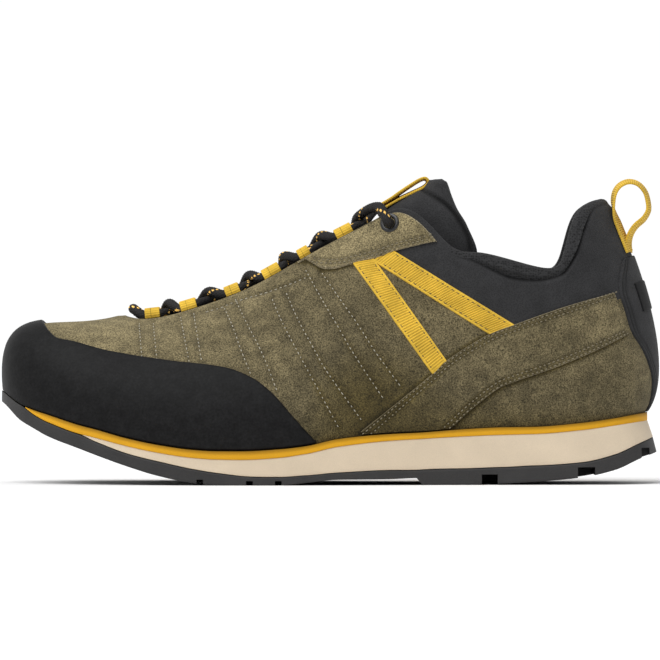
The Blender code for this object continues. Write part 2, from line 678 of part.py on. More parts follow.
def lay_on_side(tree, side, low_edge, high_edge, along_count, across_count):
    # Grid between two side view edges, laid on one side of the upper
    low = resample(low_edge, along_count)
    high = resample(high_edge, along_count)
    grid = np.zeros((along_count, across_count, 3))
    for i in range(along_count):
        for j in range(across_count):
            x, z = low[i] + (high[i] - low[i]) * j / (across_count - 1)
            z = max(z, float(sole_top(x)) + 3 * GAP)
            hit = tree.ray_cast(Vector((x, side * BALL_WIDTH, z)), Vector((0, -side, 0)))[0]
            grid[i, j] = hit
    return grid if side < 0 else grid[::-1]


def resample(edge, count):
    points = smooth_path([(x_at(a), h * HEEL_HEIGHT) for a, h in edge], 12)
    length = np.concatenate([[0], np.cumsum(np.linalg.norm(np.diff(points, axis=0), axis=1))])
    at = np.linspace(0, length[-1], count)
    return np.stack([np.interp(at, length, points[:, k]) for k in (0, 1)], axis=1)


def make_band(tree, side, label):
    grid = lay_on_side(tree, side, BAND_BOTTOM, BAND_TOP, 24, 4)
    skin(f"quarter_band_{label}", grid, OVERLAY_GAP, OVERLAY_GAP + OVERLAY_THICKNESS, "suede")


def make_straps(tree, side, label):
    for strap in STRAPS:
        front = [strap.top_front, strap.foot_front]
        back = [strap.top_back, strap.foot_back]
        grid = lay_on_side(tree, side, front, back, 8, 3)
        skin(f"{strap.name}_{label}", grid, OVERLAY_GAP, OVERLAY_GAP + STRAP_THICKNESS, "yellow")


def edge_frame(along, side):
    # Crest of the throat's edge, with its direction and the way up from it in side view
    u = float(topline_u(along, side))
    step = 0.004 if side < 0 else -0.004
    ahead = upper_surface(u + step, 1.0) - upper_surface(u - step, 1.0)
    ahead[1] = 0
    ahead /= np.linalg.norm(ahead)
    up = np.array([-ahead[2], 0, ahead[0]])
    return upper_surface(u, 1.0) + up * WALL / 2, ahead, up


def loop_radius():
    return LACE_DIAMETER / 2 + LOOP_SLACK + LOOP_THICKNESS


def lace_seat(along, side):
    # Middle of the lace where a loop holds it, just inside the throat's edge
    point, ahead, up = edge_frame(along, side)
    inward = np.array([0, -side * (loop_radius() + WALL / 2 + GAP), 0])
    return point + inward + up * LOOP_LIFT, ahead, up


def make_loops(side, label):
    for i, (along, share) in enumerate(LOOPS):
        centre, ahead, up = lace_seat(along, side)
        across = np.array([0, 1.0, 0])
        half = LOOP_WIDTH * share / 2
        inner, outer = loop_radius() - LOOP_THICKNESS, loop_radius()
        rings = []
        for k in range(10):
            turn = 2 * math.pi * k / 10
            out = across * math.cos(turn) + up * math.sin(turn)
            rings.append([centre + out * inner - ahead * half, centre + out * outer - ahead * half,
                          centre + out * outer + ahead * half, centre + out * inner + ahead * half])
        from_rings(f"lace_loop_{label}_{i + 1}", np.array(rings), "yellow", closed=True)


def eyelet_frame(side):
    u = float(topline_u(EYELET_PLACE[0], side))
    v = float(edge_v([u], lambda x: np.full_like(x, EYELET_PLACE[1] * HEEL_HEIGHT), 0.5, 0.98)[0])
    return upper_surface(u, v), upper_normal(u, v)


def turned(name, origin, axis, profile, slot, turns):
    # Solid turned about an axis from a closed profile of radius and height
    axis = Vector(axis).normalized()
    side = np.array(axis.orthogonal().normalized())
    other = np.cross(np.array(axis), side)
    rings = []
    for k in range(turns):
        turn = 2 * math.pi * k / turns
        out = side * math.cos(turn) + other * math.sin(turn)
        rings.append([origin + out * r + np.array(axis) * h for r, h in profile])
    return from_rings(name, np.array(rings), slot, closed=True)


def make_eyelet(side, label, targets):
    origin, normal = eyelet_frame(side)
    hole = EYELET_HOLE / 2
    barrel = hole + EYELET_RIM
    seat = OVERLAY_GAP + OVERLAY_THICKNESS + GAP
    profile = [(hole, -WALL), (barrel, -WALL), (barrel, seat), (EYELET_WIDTH / 2, seat),
               (EYELET_WIDTH / 2 - EYELET_RIM, seat + EYELET_RIM), (hole, seat + EYELET_RIM)]
    turned(f"eyelet_{label}", origin, normal, profile, "rubber", 12)
    drill_end = 3 * EYELET_WIDTH / 4
    drill = from_rings(f"eyelet_drill_{label}", drill_rings(origin, normal, barrel + 2 * GAP,
                                                           drill_end), "rubber", closed=False)
    drill.hide_render = True
    drill.display_type = "WIRE"
    for target in targets:
        cut(target, drill)


def drill_rings(origin, normal, radius, reach):
    axis = Vector(normal).normalized()
    side = np.array(axis.orthogonal().normalized())
    other = np.cross(np.array(axis), side)
    ends = [-reach, reach]
    return np.array([[origin + (side * math.cos(t) + other * math.sin(t)) * radius
                      + np.array(axis) * end
                      for t in np.arange(12) * math.pi / 6] for end in reversed(ends)])


def tongue_sections():
    # Cross sections of the tongue's upper face, each from the outer to the inner side
    sections = []
    for along in np.linspace(TONGUE_FRONT, TONGUE_BACK, 11):
        share = (along - TONGUE_FRONT) / (TONGUE_BACK - TONGUE_FRONT)
        wing = 0.05 + 0.07 * share
        half_rows = []
        for side in (-1, 1):
            u = float(topline_u(along, side))
            v = np.array([1 - wing, 1 - wing / 2, 1.0])
            points = upper_surface(u, v) - upper_normal(u, v) * (WALL + 2 * GAP)
            half_rows.append(points)
        left, right = half_rows[0], half_rows[1][::-1]
        middle = (left[-1] + right[0]) / 2
        ridge = (edge_frame(along, -1)[0] + edge_frame(along, 1)[0]) / 2
        ridge -= edge_frame(along, 1)[2] * TONGUE_SINK
        control = 2 * ridge - middle
        arch = [(1 - t)**2 * left[-1] + 2 * t * (1 - t) * control + t**2 * right[0]
                for t in (0.25, 0.5, 0.75)]
        sections.append(np.vstack([left, arch, right]))
    for row in TONGUE_TOP:
        ridge = np.array([x_at(row.ridge_along), 0, row.ridge_height * HEEL_HEIGHT])
        fall = np.array([x_at(row.side_along), 0, row.side_height * HEEL_HEIGHT]) - ridge
        section = []
        for turn in np.linspace(-math.pi / 2, math.pi / 2, 9):
            section.append(ridge + fall * (1 - math.cos(turn))
                           + np.array([0, row.half * HALF * math.sin(turn), 0]))
        sections.append(np.array(section))
    return np.array(sections)


def make_tongue():
    grid = tongue_sections()
    return skin("tongue", grid, -TONGUE_THICKNESS, 0.0, "neoprene")


def tube(name, path, radius, sides, slot):
    # Round cord along a path, its section carried along without twisting
    tangent = np.gradient(path, axis=0)
    tangent /= np.linalg.norm(tangent, axis=1, keepdims=True)
    across = np.cross(tangent[0], np.array([0, 0, 1.0]))
    rings = []
    for point, ahead in zip(path, tangent):
        across = across - ahead * np.dot(across, ahead)
        across /= np.linalg.norm(across)
        other = np.cross(ahead, across)
        rings.append([point + (across * math.cos(turn) + other * math.sin(turn)) * radius
                      for turn in -np.arange(sides) * 2 * math.pi / sides])
    return from_rings(name, np.array(rings), slot, closed=False)


def over_tongue(along, height):
    # Point above the middle of the throat's edges
    outer, ahead, up = edge_frame(along, -1)
    return (outer + edge_frame(along, 1)[0]) / 2 + up * height


def strand_path(first_side):
    # One half of the lace, from the middle of its front bar to a top eyelet
    radius = LACE_DIAMETER / 2
    middle = over_tongue(LACE_BAR, radius + 2 * GAP)
    points = [middle + np.array([0, -first_side * radius / 2, 0]),
              middle + np.array([0, first_side * radius * 1.6, 0])]
    side = first_side
    for i, (along, share) in enumerate(LOOPS):
        centre, ahead, up = lace_seat(along, side)
        half = LOOP_WIDTH * share / 2
        straight = ahead * (half + radius)
        points.extend([centre - straight, centre, centre + straight])
        next_along = LOOPS[i + 1][0] if i + 1 < len(LOOPS) else EYELET_PLACE[0] - 0.012
        crossing = (along + next_along) / 2
        on_top = (i % 2 == 0) == (first_side > 0)
        over_here = radius + 2 * GAP + (CROSSING_STEP * radius if on_top else 0)
        points.append(over_tongue(crossing, over_here))
        side = -side
    origin, normal = eyelet_frame(side)
    rim, ahead, up = edge_frame(EYELET_PLACE[0] - 0.010, side)
    points.append(rim + up * (radius + OVERLAY_THICKNESS + 3 * GAP))
    points.append(origin + normal * (radius + 4 * OVERLAY_THICKNESS))
    points.append(origin + normal * OVERLAY_THICKNESS)
    points.append(origin - normal * WALL)
    return smooth_path(points, 2)


def make_lace():
    radius = LACE_DIAMETER / 2 - GAP / 2
    lace = tube("lace", strand_path(-1), radius, LACE_SIDES, "neoprene")
    second = tube("lace_second_strand", strand_path(1), radius, LACE_SIDES, "neoprene")
    second.hide_render = True
    second.display_type = "WIRE"
    cut(lace, second, "UNION")


def side_path(points, per_span):
    flat = [(x_at(along), 0.0, height * HEEL_HEIGHT) for along, height in points]
    return smooth_path(flat, per_span)


def main():
    for old in list(bpy.data.objects):
        bpy.data.objects.remove(old, do_unlink=True)
    make_sole()
    make_insole()
    upper = make_upper()
    make_rand()
    make_backstay()
    make_patch()
    make_tongue()
    tree = side_tree()
    for side, label in ((-1, "lateral"), (1, "medial")):
        eyestay = make_eyestay(side, label)
        make_band(tree, side, label)
        make_straps(tree, side, label)
        make_loops(side, label)
        make_eyelet(side, label, (upper, eyestay))
    make_lace()
    strip_along("tongue_pull_loop", side_path(TONGUE_PULL, 2), PULL_WIDTH, WEBBING_THICKNESS,
                "yellow")
    strip_along("heel_pull_loop", side_path(HEEL_PULL, 2), PULL_WIDTH, WEBBING_THICKNESS,
                "yellow")


main()
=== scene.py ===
# Looks of the approach shoe: suede upper, black rubber rand, webbing, laces and sole.
# Metres, toe to -X, the outer side of the left foot to -Y, floor at z = 0.
import bpy
import math
import numpy as np
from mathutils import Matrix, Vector
from mathutils.bvhtree import BVHTree
from mathutils.kdtree import KDTree


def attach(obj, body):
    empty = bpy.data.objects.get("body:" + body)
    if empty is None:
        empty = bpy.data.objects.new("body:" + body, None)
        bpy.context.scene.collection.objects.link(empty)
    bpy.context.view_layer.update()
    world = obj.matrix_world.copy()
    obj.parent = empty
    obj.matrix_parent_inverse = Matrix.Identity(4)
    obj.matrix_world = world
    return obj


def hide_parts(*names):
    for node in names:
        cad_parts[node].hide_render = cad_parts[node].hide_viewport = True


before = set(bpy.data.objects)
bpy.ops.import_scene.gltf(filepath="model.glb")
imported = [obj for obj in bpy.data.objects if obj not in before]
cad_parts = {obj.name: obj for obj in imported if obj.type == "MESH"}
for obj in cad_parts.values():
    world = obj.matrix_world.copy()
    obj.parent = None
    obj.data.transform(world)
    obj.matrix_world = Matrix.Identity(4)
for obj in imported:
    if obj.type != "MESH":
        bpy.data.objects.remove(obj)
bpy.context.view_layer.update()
print("frame loaded,", len(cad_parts), "nodes")

shoe = {
    "length": 0.300,
    "halfWidth": 0.052,
    "heelHeight": 0.1305,
    "heelStack": 0.028,
    "gap": 0.0003,
    "overlayGap": 0.0005,   # between the upper and what is sewn or glued on it
    "overlay": 0.0012,      # thickness of the backstay and of the suede round an eyelet
    "wall": 0.0022,
    "collarPad": 0.0062,
    "padFrom": 0.5,         # how far up the wall the collar's padding starts
    "padOver": 0.4,         # and how much further up it is full
    "photoWidth": 660,      # pixels of the photograph across the shoe's length
    "photoFloor": 483,      # its row at the floor
}

# Ribs of the upper from toe to heel: where a rib stands and ends along the shoe, its sides as
# shares of the half width, how it leaves the sole and meets the topline, and its padding
ribColumns = ("footAlong", "footOuter", "footInner", "topAlong", "topHeight", "topOuter",
              "topInner", "swell", "rise", "shoulder", "drop", "pad")
ribTable = [
    (0.012, -0.12, 0.12, 0.188, 0.592, -0.08, 0.08, 0.096, 1.25, 0.60, 0.28, 0),
    (0.027, 0.270, 0.519, 0.194, 0.587, 0.038, 0.192, 0.100, 1.12, 0.54, 0.20, 0),
    (0.076, 0.577, 0.750, 0.212, 0.580, 0.125, 0.260, 0.090, 0.84, 0.46, 0.15, 0),
    (0.167, 0.798, 0.894, 0.250, 0.588, 0.192, 0.288, 0.085, 0.57, 0.365, 0.19, 0),
    (0.273, 0.913, 0.942, 0.311, 0.627, 0.231, 0.298, 0.077, 0.42, 0.29, 0.19, 0),
    (0.394, 0.942, 0.885, 0.397, 0.707, 0.269, 0.298, 0.077, 0.33, 0.25, 0.18, 0),
    (0.500, 0.904, 0.740, 0.492, 0.829, 0.308, 0.308, 0.067, 0.33, 0.21, 0.20, 0),
    (0.583, 0.827, 0.635, 0.576, 0.930, 0.365, 0.356, 0.058, 0.33, 0.154, 0.22, 0),
    (0.633, 0.779, 0.596, 0.614, 0.953, 0.442, 0.423, 0.058, 0.33, 0.096, 0.26, 0.2),
    (0.661, 0.750, 0.587, 0.642, 0.913, 0.510, 0.490, 0.058, 0.33, 0.07, 0.28, 0.6),
    (0.689, 0.731, 0.577, 0.670, 0.843, 0.577, 0.558, 0.058, 0.33, 0.048, 0.30, 0.9),
    (0.758, 0.702, 0.596, 0.724, 0.801, 0.644, 0.615, 0.058, 0.33, 0.038, 0.33, 1),
    (0.841, 0.673, 0.635, 0.811, 0.752, 0.663, 0.635, 0.058, 0.33, 0.048, 0.33, 1),
    (0.909, 0.615, 0.606, 0.857, 0.794, 0.625, 0.596, 0.070, 0.33, 0.060, 0.33, 1),
    (0.950, 0.462, 0.471, 0.879, 0.930, 0.480, 0.471, 0.154, 0.25, 0.160, 0.30, 1),
    (0.968, 0.240, 0.260, 0.903, 0.986, 0.260, 0.260, 0.250, 0.19, 0.240, 0.30, 1),
    (0.974, -0.01, 0.01, 0.921, 1.000, 0.0, 0.0, 0.288, 0.18, 0.254, 0.28, 1),
]
ribs = [dict(zip(ribColumns, row)) for row in ribTable]
# How far the front and back rib stand off the middle line, at the sole and at the topline
ribEnds = {"front": (0.115, 0.077), "back": (0.010, 0.0)}

# The sole in side view: its upper face, the yellow layer, the foam and the tread's lift
soleColumns = ("along", "top", "skirt", "foam", "lift")
soleTable = [
    (-0.010, 1.560, 0.000, 0.000, 1.360), (0.003, 1.505, 0.000, 0.000, 1.320),
    (0.035, 1.279, 0.000, 0.000, 1.023), (0.055, 1.193, 0.065, 0.000, 0.901),
    (0.076, 1.123, 0.114, 0.000, 0.779), (0.124, 0.958, 0.136, 0.000, 0.584),
    (0.148, 0.893, 0.133, 0.054, 0.487), (0.197, 0.747, 0.123, 0.114, 0.300),
    (0.245, 0.641, 0.123, 0.136, 0.146), (0.294, 0.568, 0.127, 0.174, 0.041),
    (0.330, 0.545, 0.130, 0.211, 0.000), (0.367, 0.544, 0.135, 0.255, 0.000),
    (0.424, 0.576, 0.135, 0.304, 0.000), (0.464, 0.625, 0.122, 0.341, 0.040),
    (0.512, 0.739, 0.122, 0.411, 0.090), (0.586, 0.815, 0.107, 0.464, 0.096),
    (0.635, 0.839, 0.100, 0.490, 0.114), (0.638, 0.841, 0.100, 0.490, 0.000),
    (0.720, 0.905, 0.118, 0.514, 0.000), (0.758, 0.922, 0.120, 0.515, 0.020),
    (0.803, 0.928, 0.114, 0.503, 0.045), (0.876, 0.990, 0.114, 0.515, 0.115),
    (0.927, 1.063, 0.115, 0.461, 0.235), (0.968, 1.136, 0.130, 0.330, 0.422),
    (1.010, 1.180, 0.135, 0.210, 0.560),
]


def xAt(along):
    return (along - 0.5) * shoe["length"]


def fromPhoto(points):
    # Side view metres of places named by their pixels in the photograph
    pixel = shoe["length"] / shoe["photoWidth"]
    return [((px - shoe["photoWidth"] / 2) * pixel, (shoe["photoFloor"] - py) * pixel)
            for px, py in points]


def hermite(t, span, start, startSlope, end, endSlope):
    # Cubic between two values with their slopes, at the share t of a span
    return ((2 * t**3 - 3 * t**2 + 1) * start + (t**3 - 2 * t**2 + t) * span * startSlope
            + (3 * t**2 - 2 * t**3) * end + (t**3 - t**2) * span * endSlope)


def easyCurve(points):
    # Smooth curve of height over x that never overshoots its points
    xs = np.array([p[0] for p in points], dtype=float)
    ys = np.array([p[1] for p in points], dtype=float)
    step = np.diff(xs)
    slope = np.diff(ys) / step
    tangent = np.zeros(len(xs))
    for i in range(1, len(xs) - 1):
        if slope[i - 1] * slope[i] > 0:
            before = 2 * step[i] + step[i - 1]
            after = step[i] + 2 * step[i - 1]
            tangent[i] = (before + after) / (before / slope[i - 1] + after / slope[i])
    tangent[0], tangent[-1] = slope[0], slope[-1]

    def curve(x):
        x = np.clip(np.asarray(x, dtype=float), xs[0], xs[-1])
        i = np.clip(np.searchsorted(xs, x, side="right") - 1, 0, len(step) - 1)
        return hermite((x - xs[i]) / step[i], step[i], ys[i], tangent[i], ys[i + 1],
                       tangent[i + 1])

    return curve


def smoothPath(points, perSpan):
    # Smooth line through its points, with even steps in each span
    points = np.array(points, dtype=float)
    chord = np.linalg.norm(np.diff(points, axis=0), axis=1)[:, None]
    ahead = np.diff(points, axis=0) / chord
    tangent = np.vstack([ahead[:1], np.zeros_like(points[1:-1]), ahead[-1:]])
    tangent[1:-1] = (points[2:] - points[:-2]) / (chord[1:] + chord[:-1])
    path = [hermite(t, chord[i], points[i], tangent[i], points[i + 1], tangent[i + 1])
            for i in range(len(points) - 1) for t in np.arange(perSpan) / perSpan]
    return np.array(path + [points[-1]])


def walkedAlong(path):
    # Distance from a line's first point to each of its points
    return np.concatenate([[0], np.cumsum(np.linalg.norm(np.diff(path, axis=0), axis=1))])


def valuesAt(places, walked, values):
    # Rows of values known at some distances, read at other ones
    return np.stack([np.interp(places, walked, column) for column in values.T], axis=1)


def evenPath(path, count):
    # The same line with evenly spaced points
    walked = walkedAlong(path)
    return valuesAt(np.linspace(0, walked[-1], count), walked, path)


def pathLength(path):
    return float(np.sum(np.linalg.norm(np.diff(path, axis=0), axis=1)))


def pathTangents(path):
    tangent = np.gradient(path, axis=0)
    return tangent / np.linalg.norm(tangent, axis=1, keepdims=True)


def smoothed(values, size):
    # Running mean, where it is whole
    return np.convolve(values, np.ones(size) / size, "valid")


def soleCurve(column):
    index = soleColumns.index(column)
    return easyCurve([(xAt(row[0]), row[index] * shoe["heelStack"]) for row in soleTable])


soleTop = soleCurve("top")
soleSkirt = soleCurve("skirt")
soleFoam = soleCurve("foam")
soleLift = soleCurve("lift")


def closedSpline(knots, values):
    # Smooth closed curve through rows of values
    count = len(knots)
    step = np.append(np.diff(knots), 1.0 - knots[-1] + knots[0])
    matrix = np.zeros((count, count))
    right = np.zeros((count, values.shape[1]))
    for i in range(count):
        before, after = (i - 1) % count, (i + 1) % count
        matrix[i, before] += step[before]
        matrix[i, i] += 2 * (step[before] + step[i])
        matrix[i, after] += step[i]
        right[i] = 6 * ((values[after] - values[i]) / step[i]
                        - (values[i] - values[before]) / step[before])
    bend = np.linalg.solve(matrix, right)

    def curve(u):
        u = np.mod(np.asarray(u, dtype=float), 1.0)
        i = np.searchsorted(knots, u, side="right") - 1
        j = (i + 1) % count
        h = step[i][:, None]
        t = (u - knots[i])[:, None]
        s = h - t
        return (bend[i] * s**3 / (6 * h) + bend[j] * t**3 / (6 * h)
                + (values[i] / h - bend[i] * h / 6) * s + (values[j] / h - bend[j] * h / 6) * t)

    return curve


def makeRibSpline():
    # Control points of every rib, splined round the foot
    half, height = shoe["halfWidth"], shoe["heelHeight"]
    order = [(ribs[0], 1, *ribEnds["front"])]
    order += [(rib, -1, rib["footOuter"], rib["topOuter"]) for rib in ribs[1:-1]]
    order += [(ribs[-1], 1, *ribEnds["back"])]
    order += [(rib, 1, rib["footInner"], rib["topInner"]) for rib in reversed(ribs[1:-1])]
    feet = np.array([(xAt(rib["footAlong"]), sign * foot * half) for rib, sign, foot, top in order])
    chords = np.linalg.norm(np.roll(feet, -1, axis=0) - feet, axis=1)
    knots = np.concatenate([[0.0], np.cumsum(chords)])
    knots = knots[:-1] / knots[-1]
    ahead = np.roll(feet, -1, axis=0) - np.roll(feet, 1, axis=0)
    rows = []
    for i, (rib, sign, foot, top) in enumerate(order):
        outward = np.array([ahead[i][1], -ahead[i][0]])
        outward /= np.linalg.norm(outward)
        rim = (shoe["wall"] + (shoe["collarPad"] - shoe["wall"]) * rib["pad"]) / 2
        start = np.array([*feet[i], float(soleTop(feet[i][0])) + shoe["gap"]])
        end = np.array([xAt(rib["topAlong"]), sign * top * half, rib["topHeight"] * height - rim])
        rise = end[2] - start[2]
        away = (feet[i] - end[:2]) / np.linalg.norm(feet[i] - end[:2])
        first = start + np.append(outward * rib["swell"] * half, rib["rise"] * rise)
        second = end + np.append(away * rib["shoulder"] * half, -rib["drop"] * rise)
        rows.append(np.concatenate([start, first, second, end, [rib["pad"]]]))
    return knots, closedSpline(knots, np.array(rows))


ribKnots, ribSpline = makeRibSpline()
heelU = float(ribKnots[len(ribs) - 1])
# Places round the foot at which outlines are read
footSamples = np.linspace(0, 1, 1441)[:-1]


def upperPoint(u, v):
    # The upper's outer face: u goes round the foot and v up from the sole
    u, v = np.broadcast_arrays(np.asarray(u, dtype=float), np.asarray(v, dtype=float))
    shape = u.shape
    rib = ribSpline(u.ravel())
    v = v.ravel()[:, None]
    point = ((1 - v)**3 * rib[:, 0:3] + 3 * (1 - v)**2 * v * rib[:, 3:6]
             + 3 * (1 - v) * v**2 * rib[:, 6:9] + v**3 * rib[:, 9:12])
    point[:, 2] += (soleTop(rib[:, 0]) + shoe["gap"] - rib[:, 2]) * (1 - v[:, 0])**2
    return point.reshape(shape + (3,))


def upperNormal(u, v):
    step = 2e-4
    low = np.clip(np.asarray(v, dtype=float) - step, 0, 1)
    high = np.clip(np.asarray(v, dtype=float) + step, 0, 1)
    u = np.asarray(u, dtype=float)
    normal = np.cross(upperPoint(u + step, v) - upperPoint(u - step, v),
                      upperPoint(u, high) - upperPoint(u, low))
    return normal / np.linalg.norm(normal, axis=-1, keepdims=True)


def wallThickness(u, v):
    u, v = np.broadcast_arrays(np.asarray(u, dtype=float), np.asarray(v, dtype=float))
    pad = np.clip(ribSpline(u.ravel())[:, 12].reshape(u.shape), 0, 1)
    blend = np.clip((v - shoe["padFrom"]) / shoe["padOver"], 0, 1)
    return shoe["wall"] + (shoe["collarPad"] - shoe["wall"]) * pad * blend**2 * (3 - 2 * blend)


def aboveSole(points):
    points = np.array(points)
    points[..., 2] = np.maximum(points[..., 2], soleTop(points[..., 0]) + shoe["gap"])
    return points


def toplineU(along, side):
    # Where round the foot the topline reaches a place along the shoe
    samples = np.linspace(0, heelU, 600) if side < 0 else np.linspace(1, heelU, 600)
    tops = upperPoint(samples, 1.0)[:, 0]
    order = np.argsort(tops)
    return np.interp(xAt(np.asarray(along, dtype=float)), tops[order], samples[order])


def crossingV(u, curve, start, stop):
    # How far up each rib a side view edge crosses it
    v = np.linspace(start, stop, 160)
    points = upperPoint(np.asarray(u)[:, None], v[None, :])
    result = []
    for row in points[..., 2] - curve(points[..., 0]):
        crossing = int(np.argmax(row > 0)) if (row > 0).any() else len(v) - 1
        share = 0.0
        if crossing > 0:
            share = np.clip(row[crossing - 1] / (row[crossing - 1] - row[crossing]), 0, 1)
        result.append(v[max(crossing - 1, 0)] + share * (v[1] - v[0]))
    return np.array(result)


# A fine copy of the outer face, to find the rib and height under a side view place, and how
# far out a search for it starts
mapGrid = {"around": 361, "up": 81, "rayFrom": 0.1, "nearFrom": 0.02}
mapU = np.linspace(0, 1, mapGrid["around"])
mapV = np.linspace(0, 1, mapGrid["up"])
mapPoints = upperPoint(mapU[:, None], mapV[None, :])
mapTree = BVHTree.FromPolygons(
    [tuple(p) for p in mapPoints.reshape(-1, 3).tolist()],
    [(i * mapGrid["up"] + j, (i + 1) * mapGrid["up"] + j,
      (i + 1) * mapGrid["up"] + j + 1, i * mapGrid["up"] + j + 1)
     for i in range(mapGrid["around"] - 1) for j in range(mapGrid["up"] - 1)])


def placeOnSide(flat, side):
    # Rib and height on one side of the upper for side view places
    flat = np.asarray(flat, dtype=float)
    found = np.zeros((len(flat), 2))
    for n, (x, z) in enumerate(flat):
        z = max(z, float(soleTop(x)) + 3 * shoe["gap"])
        origin = Vector((x, side * mapGrid["rayFrom"], z))
        hit, normal, index, distance = mapTree.ray_cast(origin, Vector((0, -side, 0)))
        if hit is None:
            near = Vector((x, side * mapGrid["nearFrom"], z))
            hit, normal, index, distance = mapTree.find_nearest(near)
        i, j = divmod(index, mapGrid["up"] - 1)
        corner = mapPoints[i, j]
        edges = np.stack([mapPoints[i + 1, j] - corner, mapPoints[i, j + 1] - corner], axis=1)
        share = np.linalg.lstsq(edges, np.array(hit) - corner, rcond=None)[0]
        found[n] = (mapU[i] + np.clip(share[0], 0, 1) * (mapU[1] - mapU[0]),
                    mapV[j] + np.clip(share[1], 0, 1) * (mapV[1] - mapV[0]))
    return found[:, 0], found[:, 1]


def newMesh(name, points, faces, materials, faceSlots=None, angle=45):
    mesh = bpy.data.meshes.new(name)
    mesh.from_pydata(np.asarray(points, dtype=float).reshape(-1, 3).tolist(), [], faces)
    for material in materials:
        mesh.materials.append(material)
    if faceSlots is not None:
        mesh.polygons.foreach_set("material_index", np.asarray(faceSlots, dtype=np.int32))
    mesh.shade_smooth()
    mesh.set_sharp_from_angle(angle=math.radians(angle))
    mesh.update()
    piece = bpy.data.objects.new(name, mesh)
    bpy.context.scene.collection.objects.link(piece)
    return piece


def ringFaces(count, size, closed):
    # Quads between closed section loops, with strips over open ends
    i = np.arange(count if closed else count - 1)[:, None]
    k = np.arange(size)[None, :]
    j, m = (i + 1) % count, (k + 1) % size
    quads = np.stack(np.broadcast_arrays(i * size + k, j * size + k, j * size + m, i * size + m),
                     axis=-1).reshape(-1, 4).tolist()
    if not closed:
        last = (count - 1) * size
        for n in range(size // 2 - 1):
            strip = [n, n + 1, size - 2 - n, size - 1 - n]
            quads.append(strip)
            quads.append([last + index for index in reversed(strip)])
    return quads


def ringPiece(name, rings, materials, closed=False, faceSlots=None, angle=45):
    # Mesh through section loops, one loop to each row of points
    rings = np.array(rings)
    faces = ringFaces(rings.shape[0], rings.shape[1], closed)
    return newMesh(name, rings, faces, materials, faceSlots, angle)


def frontAndBack(front, back):
    # Rows over a sheet's front, then over its back the other way round
    return np.concatenate([front, back[:, ::-1]], axis=1)


def finishPiece(piece, slotName, *nodes):
    if nodes:
        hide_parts(*nodes)
    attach(piece, "root")
    return piece


def storeShade(piece, name, values):
    layer = piece.data.attributes.new(name, "FLOAT", "POINT")
    layer.data.foreach_set("value", np.asarray(values, dtype=np.float32).ravel())


def vertexPlaces(piece):
    places = np.zeros(len(piece.data.vertices) * 3)
    piece.data.vertices.foreach_get("co", places)
    return places.reshape(-1, 3)


def troughs(distance, depth, width):
    return -depth * np.exp(-(distance / width)**2)


def rowDistance(rows):
    # How far places lie from the nearest point of some rows
    places = np.concatenate(rows)
    tree = KDTree(len(places))
    for index, place in enumerate(places.tolist()):
        tree.insert(place, index)
    tree.balance()

    def distance(flat):
        return np.array([tree.find(place)[2] for place in flat.tolist()])

    return distance


# Painted light and shade of the suede, partly its own colour: lighter over the toe where light
# falls from above, darker behind the ball and low down by the sole, and painted shade in its
# hollows: place in side view, reach and depth
suedeLightAndShade = {
    "along": [(-0.150, 1.26), (-0.070, 1.15), (-0.035, 0.87), (0.000, 0.75), (0.060, 0.70),
              (0.150, 0.88)],
    "up": [(0.000, 0.60), (0.004, 0.76), (0.012, 0.87), (0.030, 0.97), (0.050, 1.0),
           (0.110, 1.04)],
    "hollows": [(0.016, 0.038, 0.022, 0.42), (0.042, 0.030, 0.020, 0.16)],
}


def paintSuedeLightAndShade(piece, factor=1.0, lines=()):
    # Painted light and shade on the suede, partly its own colour: lightest over the toe, darker
    # behind the ball, and painted shade low down, in hollows and beside seams and overlay edges
    points = vertexPlaces(piece)
    toneAndShade = easyCurve(suedeLightAndShade["along"])(points[:, 0]) * factor
    toneAndShade = toneAndShade * easyCurve(suedeLightAndShade["up"])(points[:, 2] - soleTop(points[:, 0]))
    for rows, depth, width in lines:
        toneAndShade *= 1 + troughs(rowDistance(rows)(points), depth, width)
    for x, z, reach, depth in suedeLightAndShade["hollows"]:
        away = ((points[:, 0] - x)**2 + (points[:, 2] - z)**2) / reach**2
        toneAndShade *= 1 - depth * np.exp(-away)
    storeShade(piece, "toneAndShade", toneAndShade)
    return piece


def plainMesh(piece):
    # The piece with its modifiers worked into a plain mesh
    depsgraph = bpy.context.evaluated_depsgraph_get()
    made = bpy.data.meshes.new_from_object(piece.evaluated_get(depsgraph), depsgraph=depsgraph)
    piece.modifiers.clear()
    piece.data = made
    return piece


def addNode(tree, kind, values=(), **properties):
    made = tree.nodes.new(kind)
    for key, value in properties.items():
        setattr(made, key, value)
    for socket, value in dict(values).items():
        if isinstance(value, bpy.types.NodeSocket):
            tree.links.new(value, made.inputs[socket])
        else:
            made.inputs[socket].default_value = value
    return made


def addNoise(tree, place, scale, detail=2.0, roughness=0.5, distortion=0.0):
    made = addNode(tree, "ShaderNodeTexNoise", {"Vector": place, "Scale": scale, "Detail": detail,
                                                "Roughness": roughness, "Distortion": distortion})
    return made.outputs["Fac"]


def addRange(tree, value, low, high, toLow, toHigh):
    made = addNode(tree, "ShaderNodeMapRange", {"Value": value, "From Min": low, "From Max": high,
                                                "To Min": toLow, "To Max": toHigh})
    return made.outputs["Result"]


def addMath(tree, operation, first, second):
    return addNode(tree, "ShaderNodeMath", {0: first, 1: second}, operation=operation).outputs[0]


def addStored(tree, name):
    # Values kept with the piece's own points
    return addNode(tree, "ShaderNodeAttribute", attribute_name=name).outputs["Fac"]


def addTint(tree, colour, amount):
    # The colour made lighter or darker by a grey amount
    made = addNode(tree, "ShaderNodeVectorMath", {0: colour, "Scale": amount}, operation="SCALE")
    return made.outputs[0]


def addBump(tree, height, distance, strength=1.0, below=None):
    values = {"Height": height, "Distance": distance, "Strength": strength}
    if below is not None:
        values["Normal"] = below
    return addNode(tree, "ShaderNodeBump", values).outputs["Normal"]


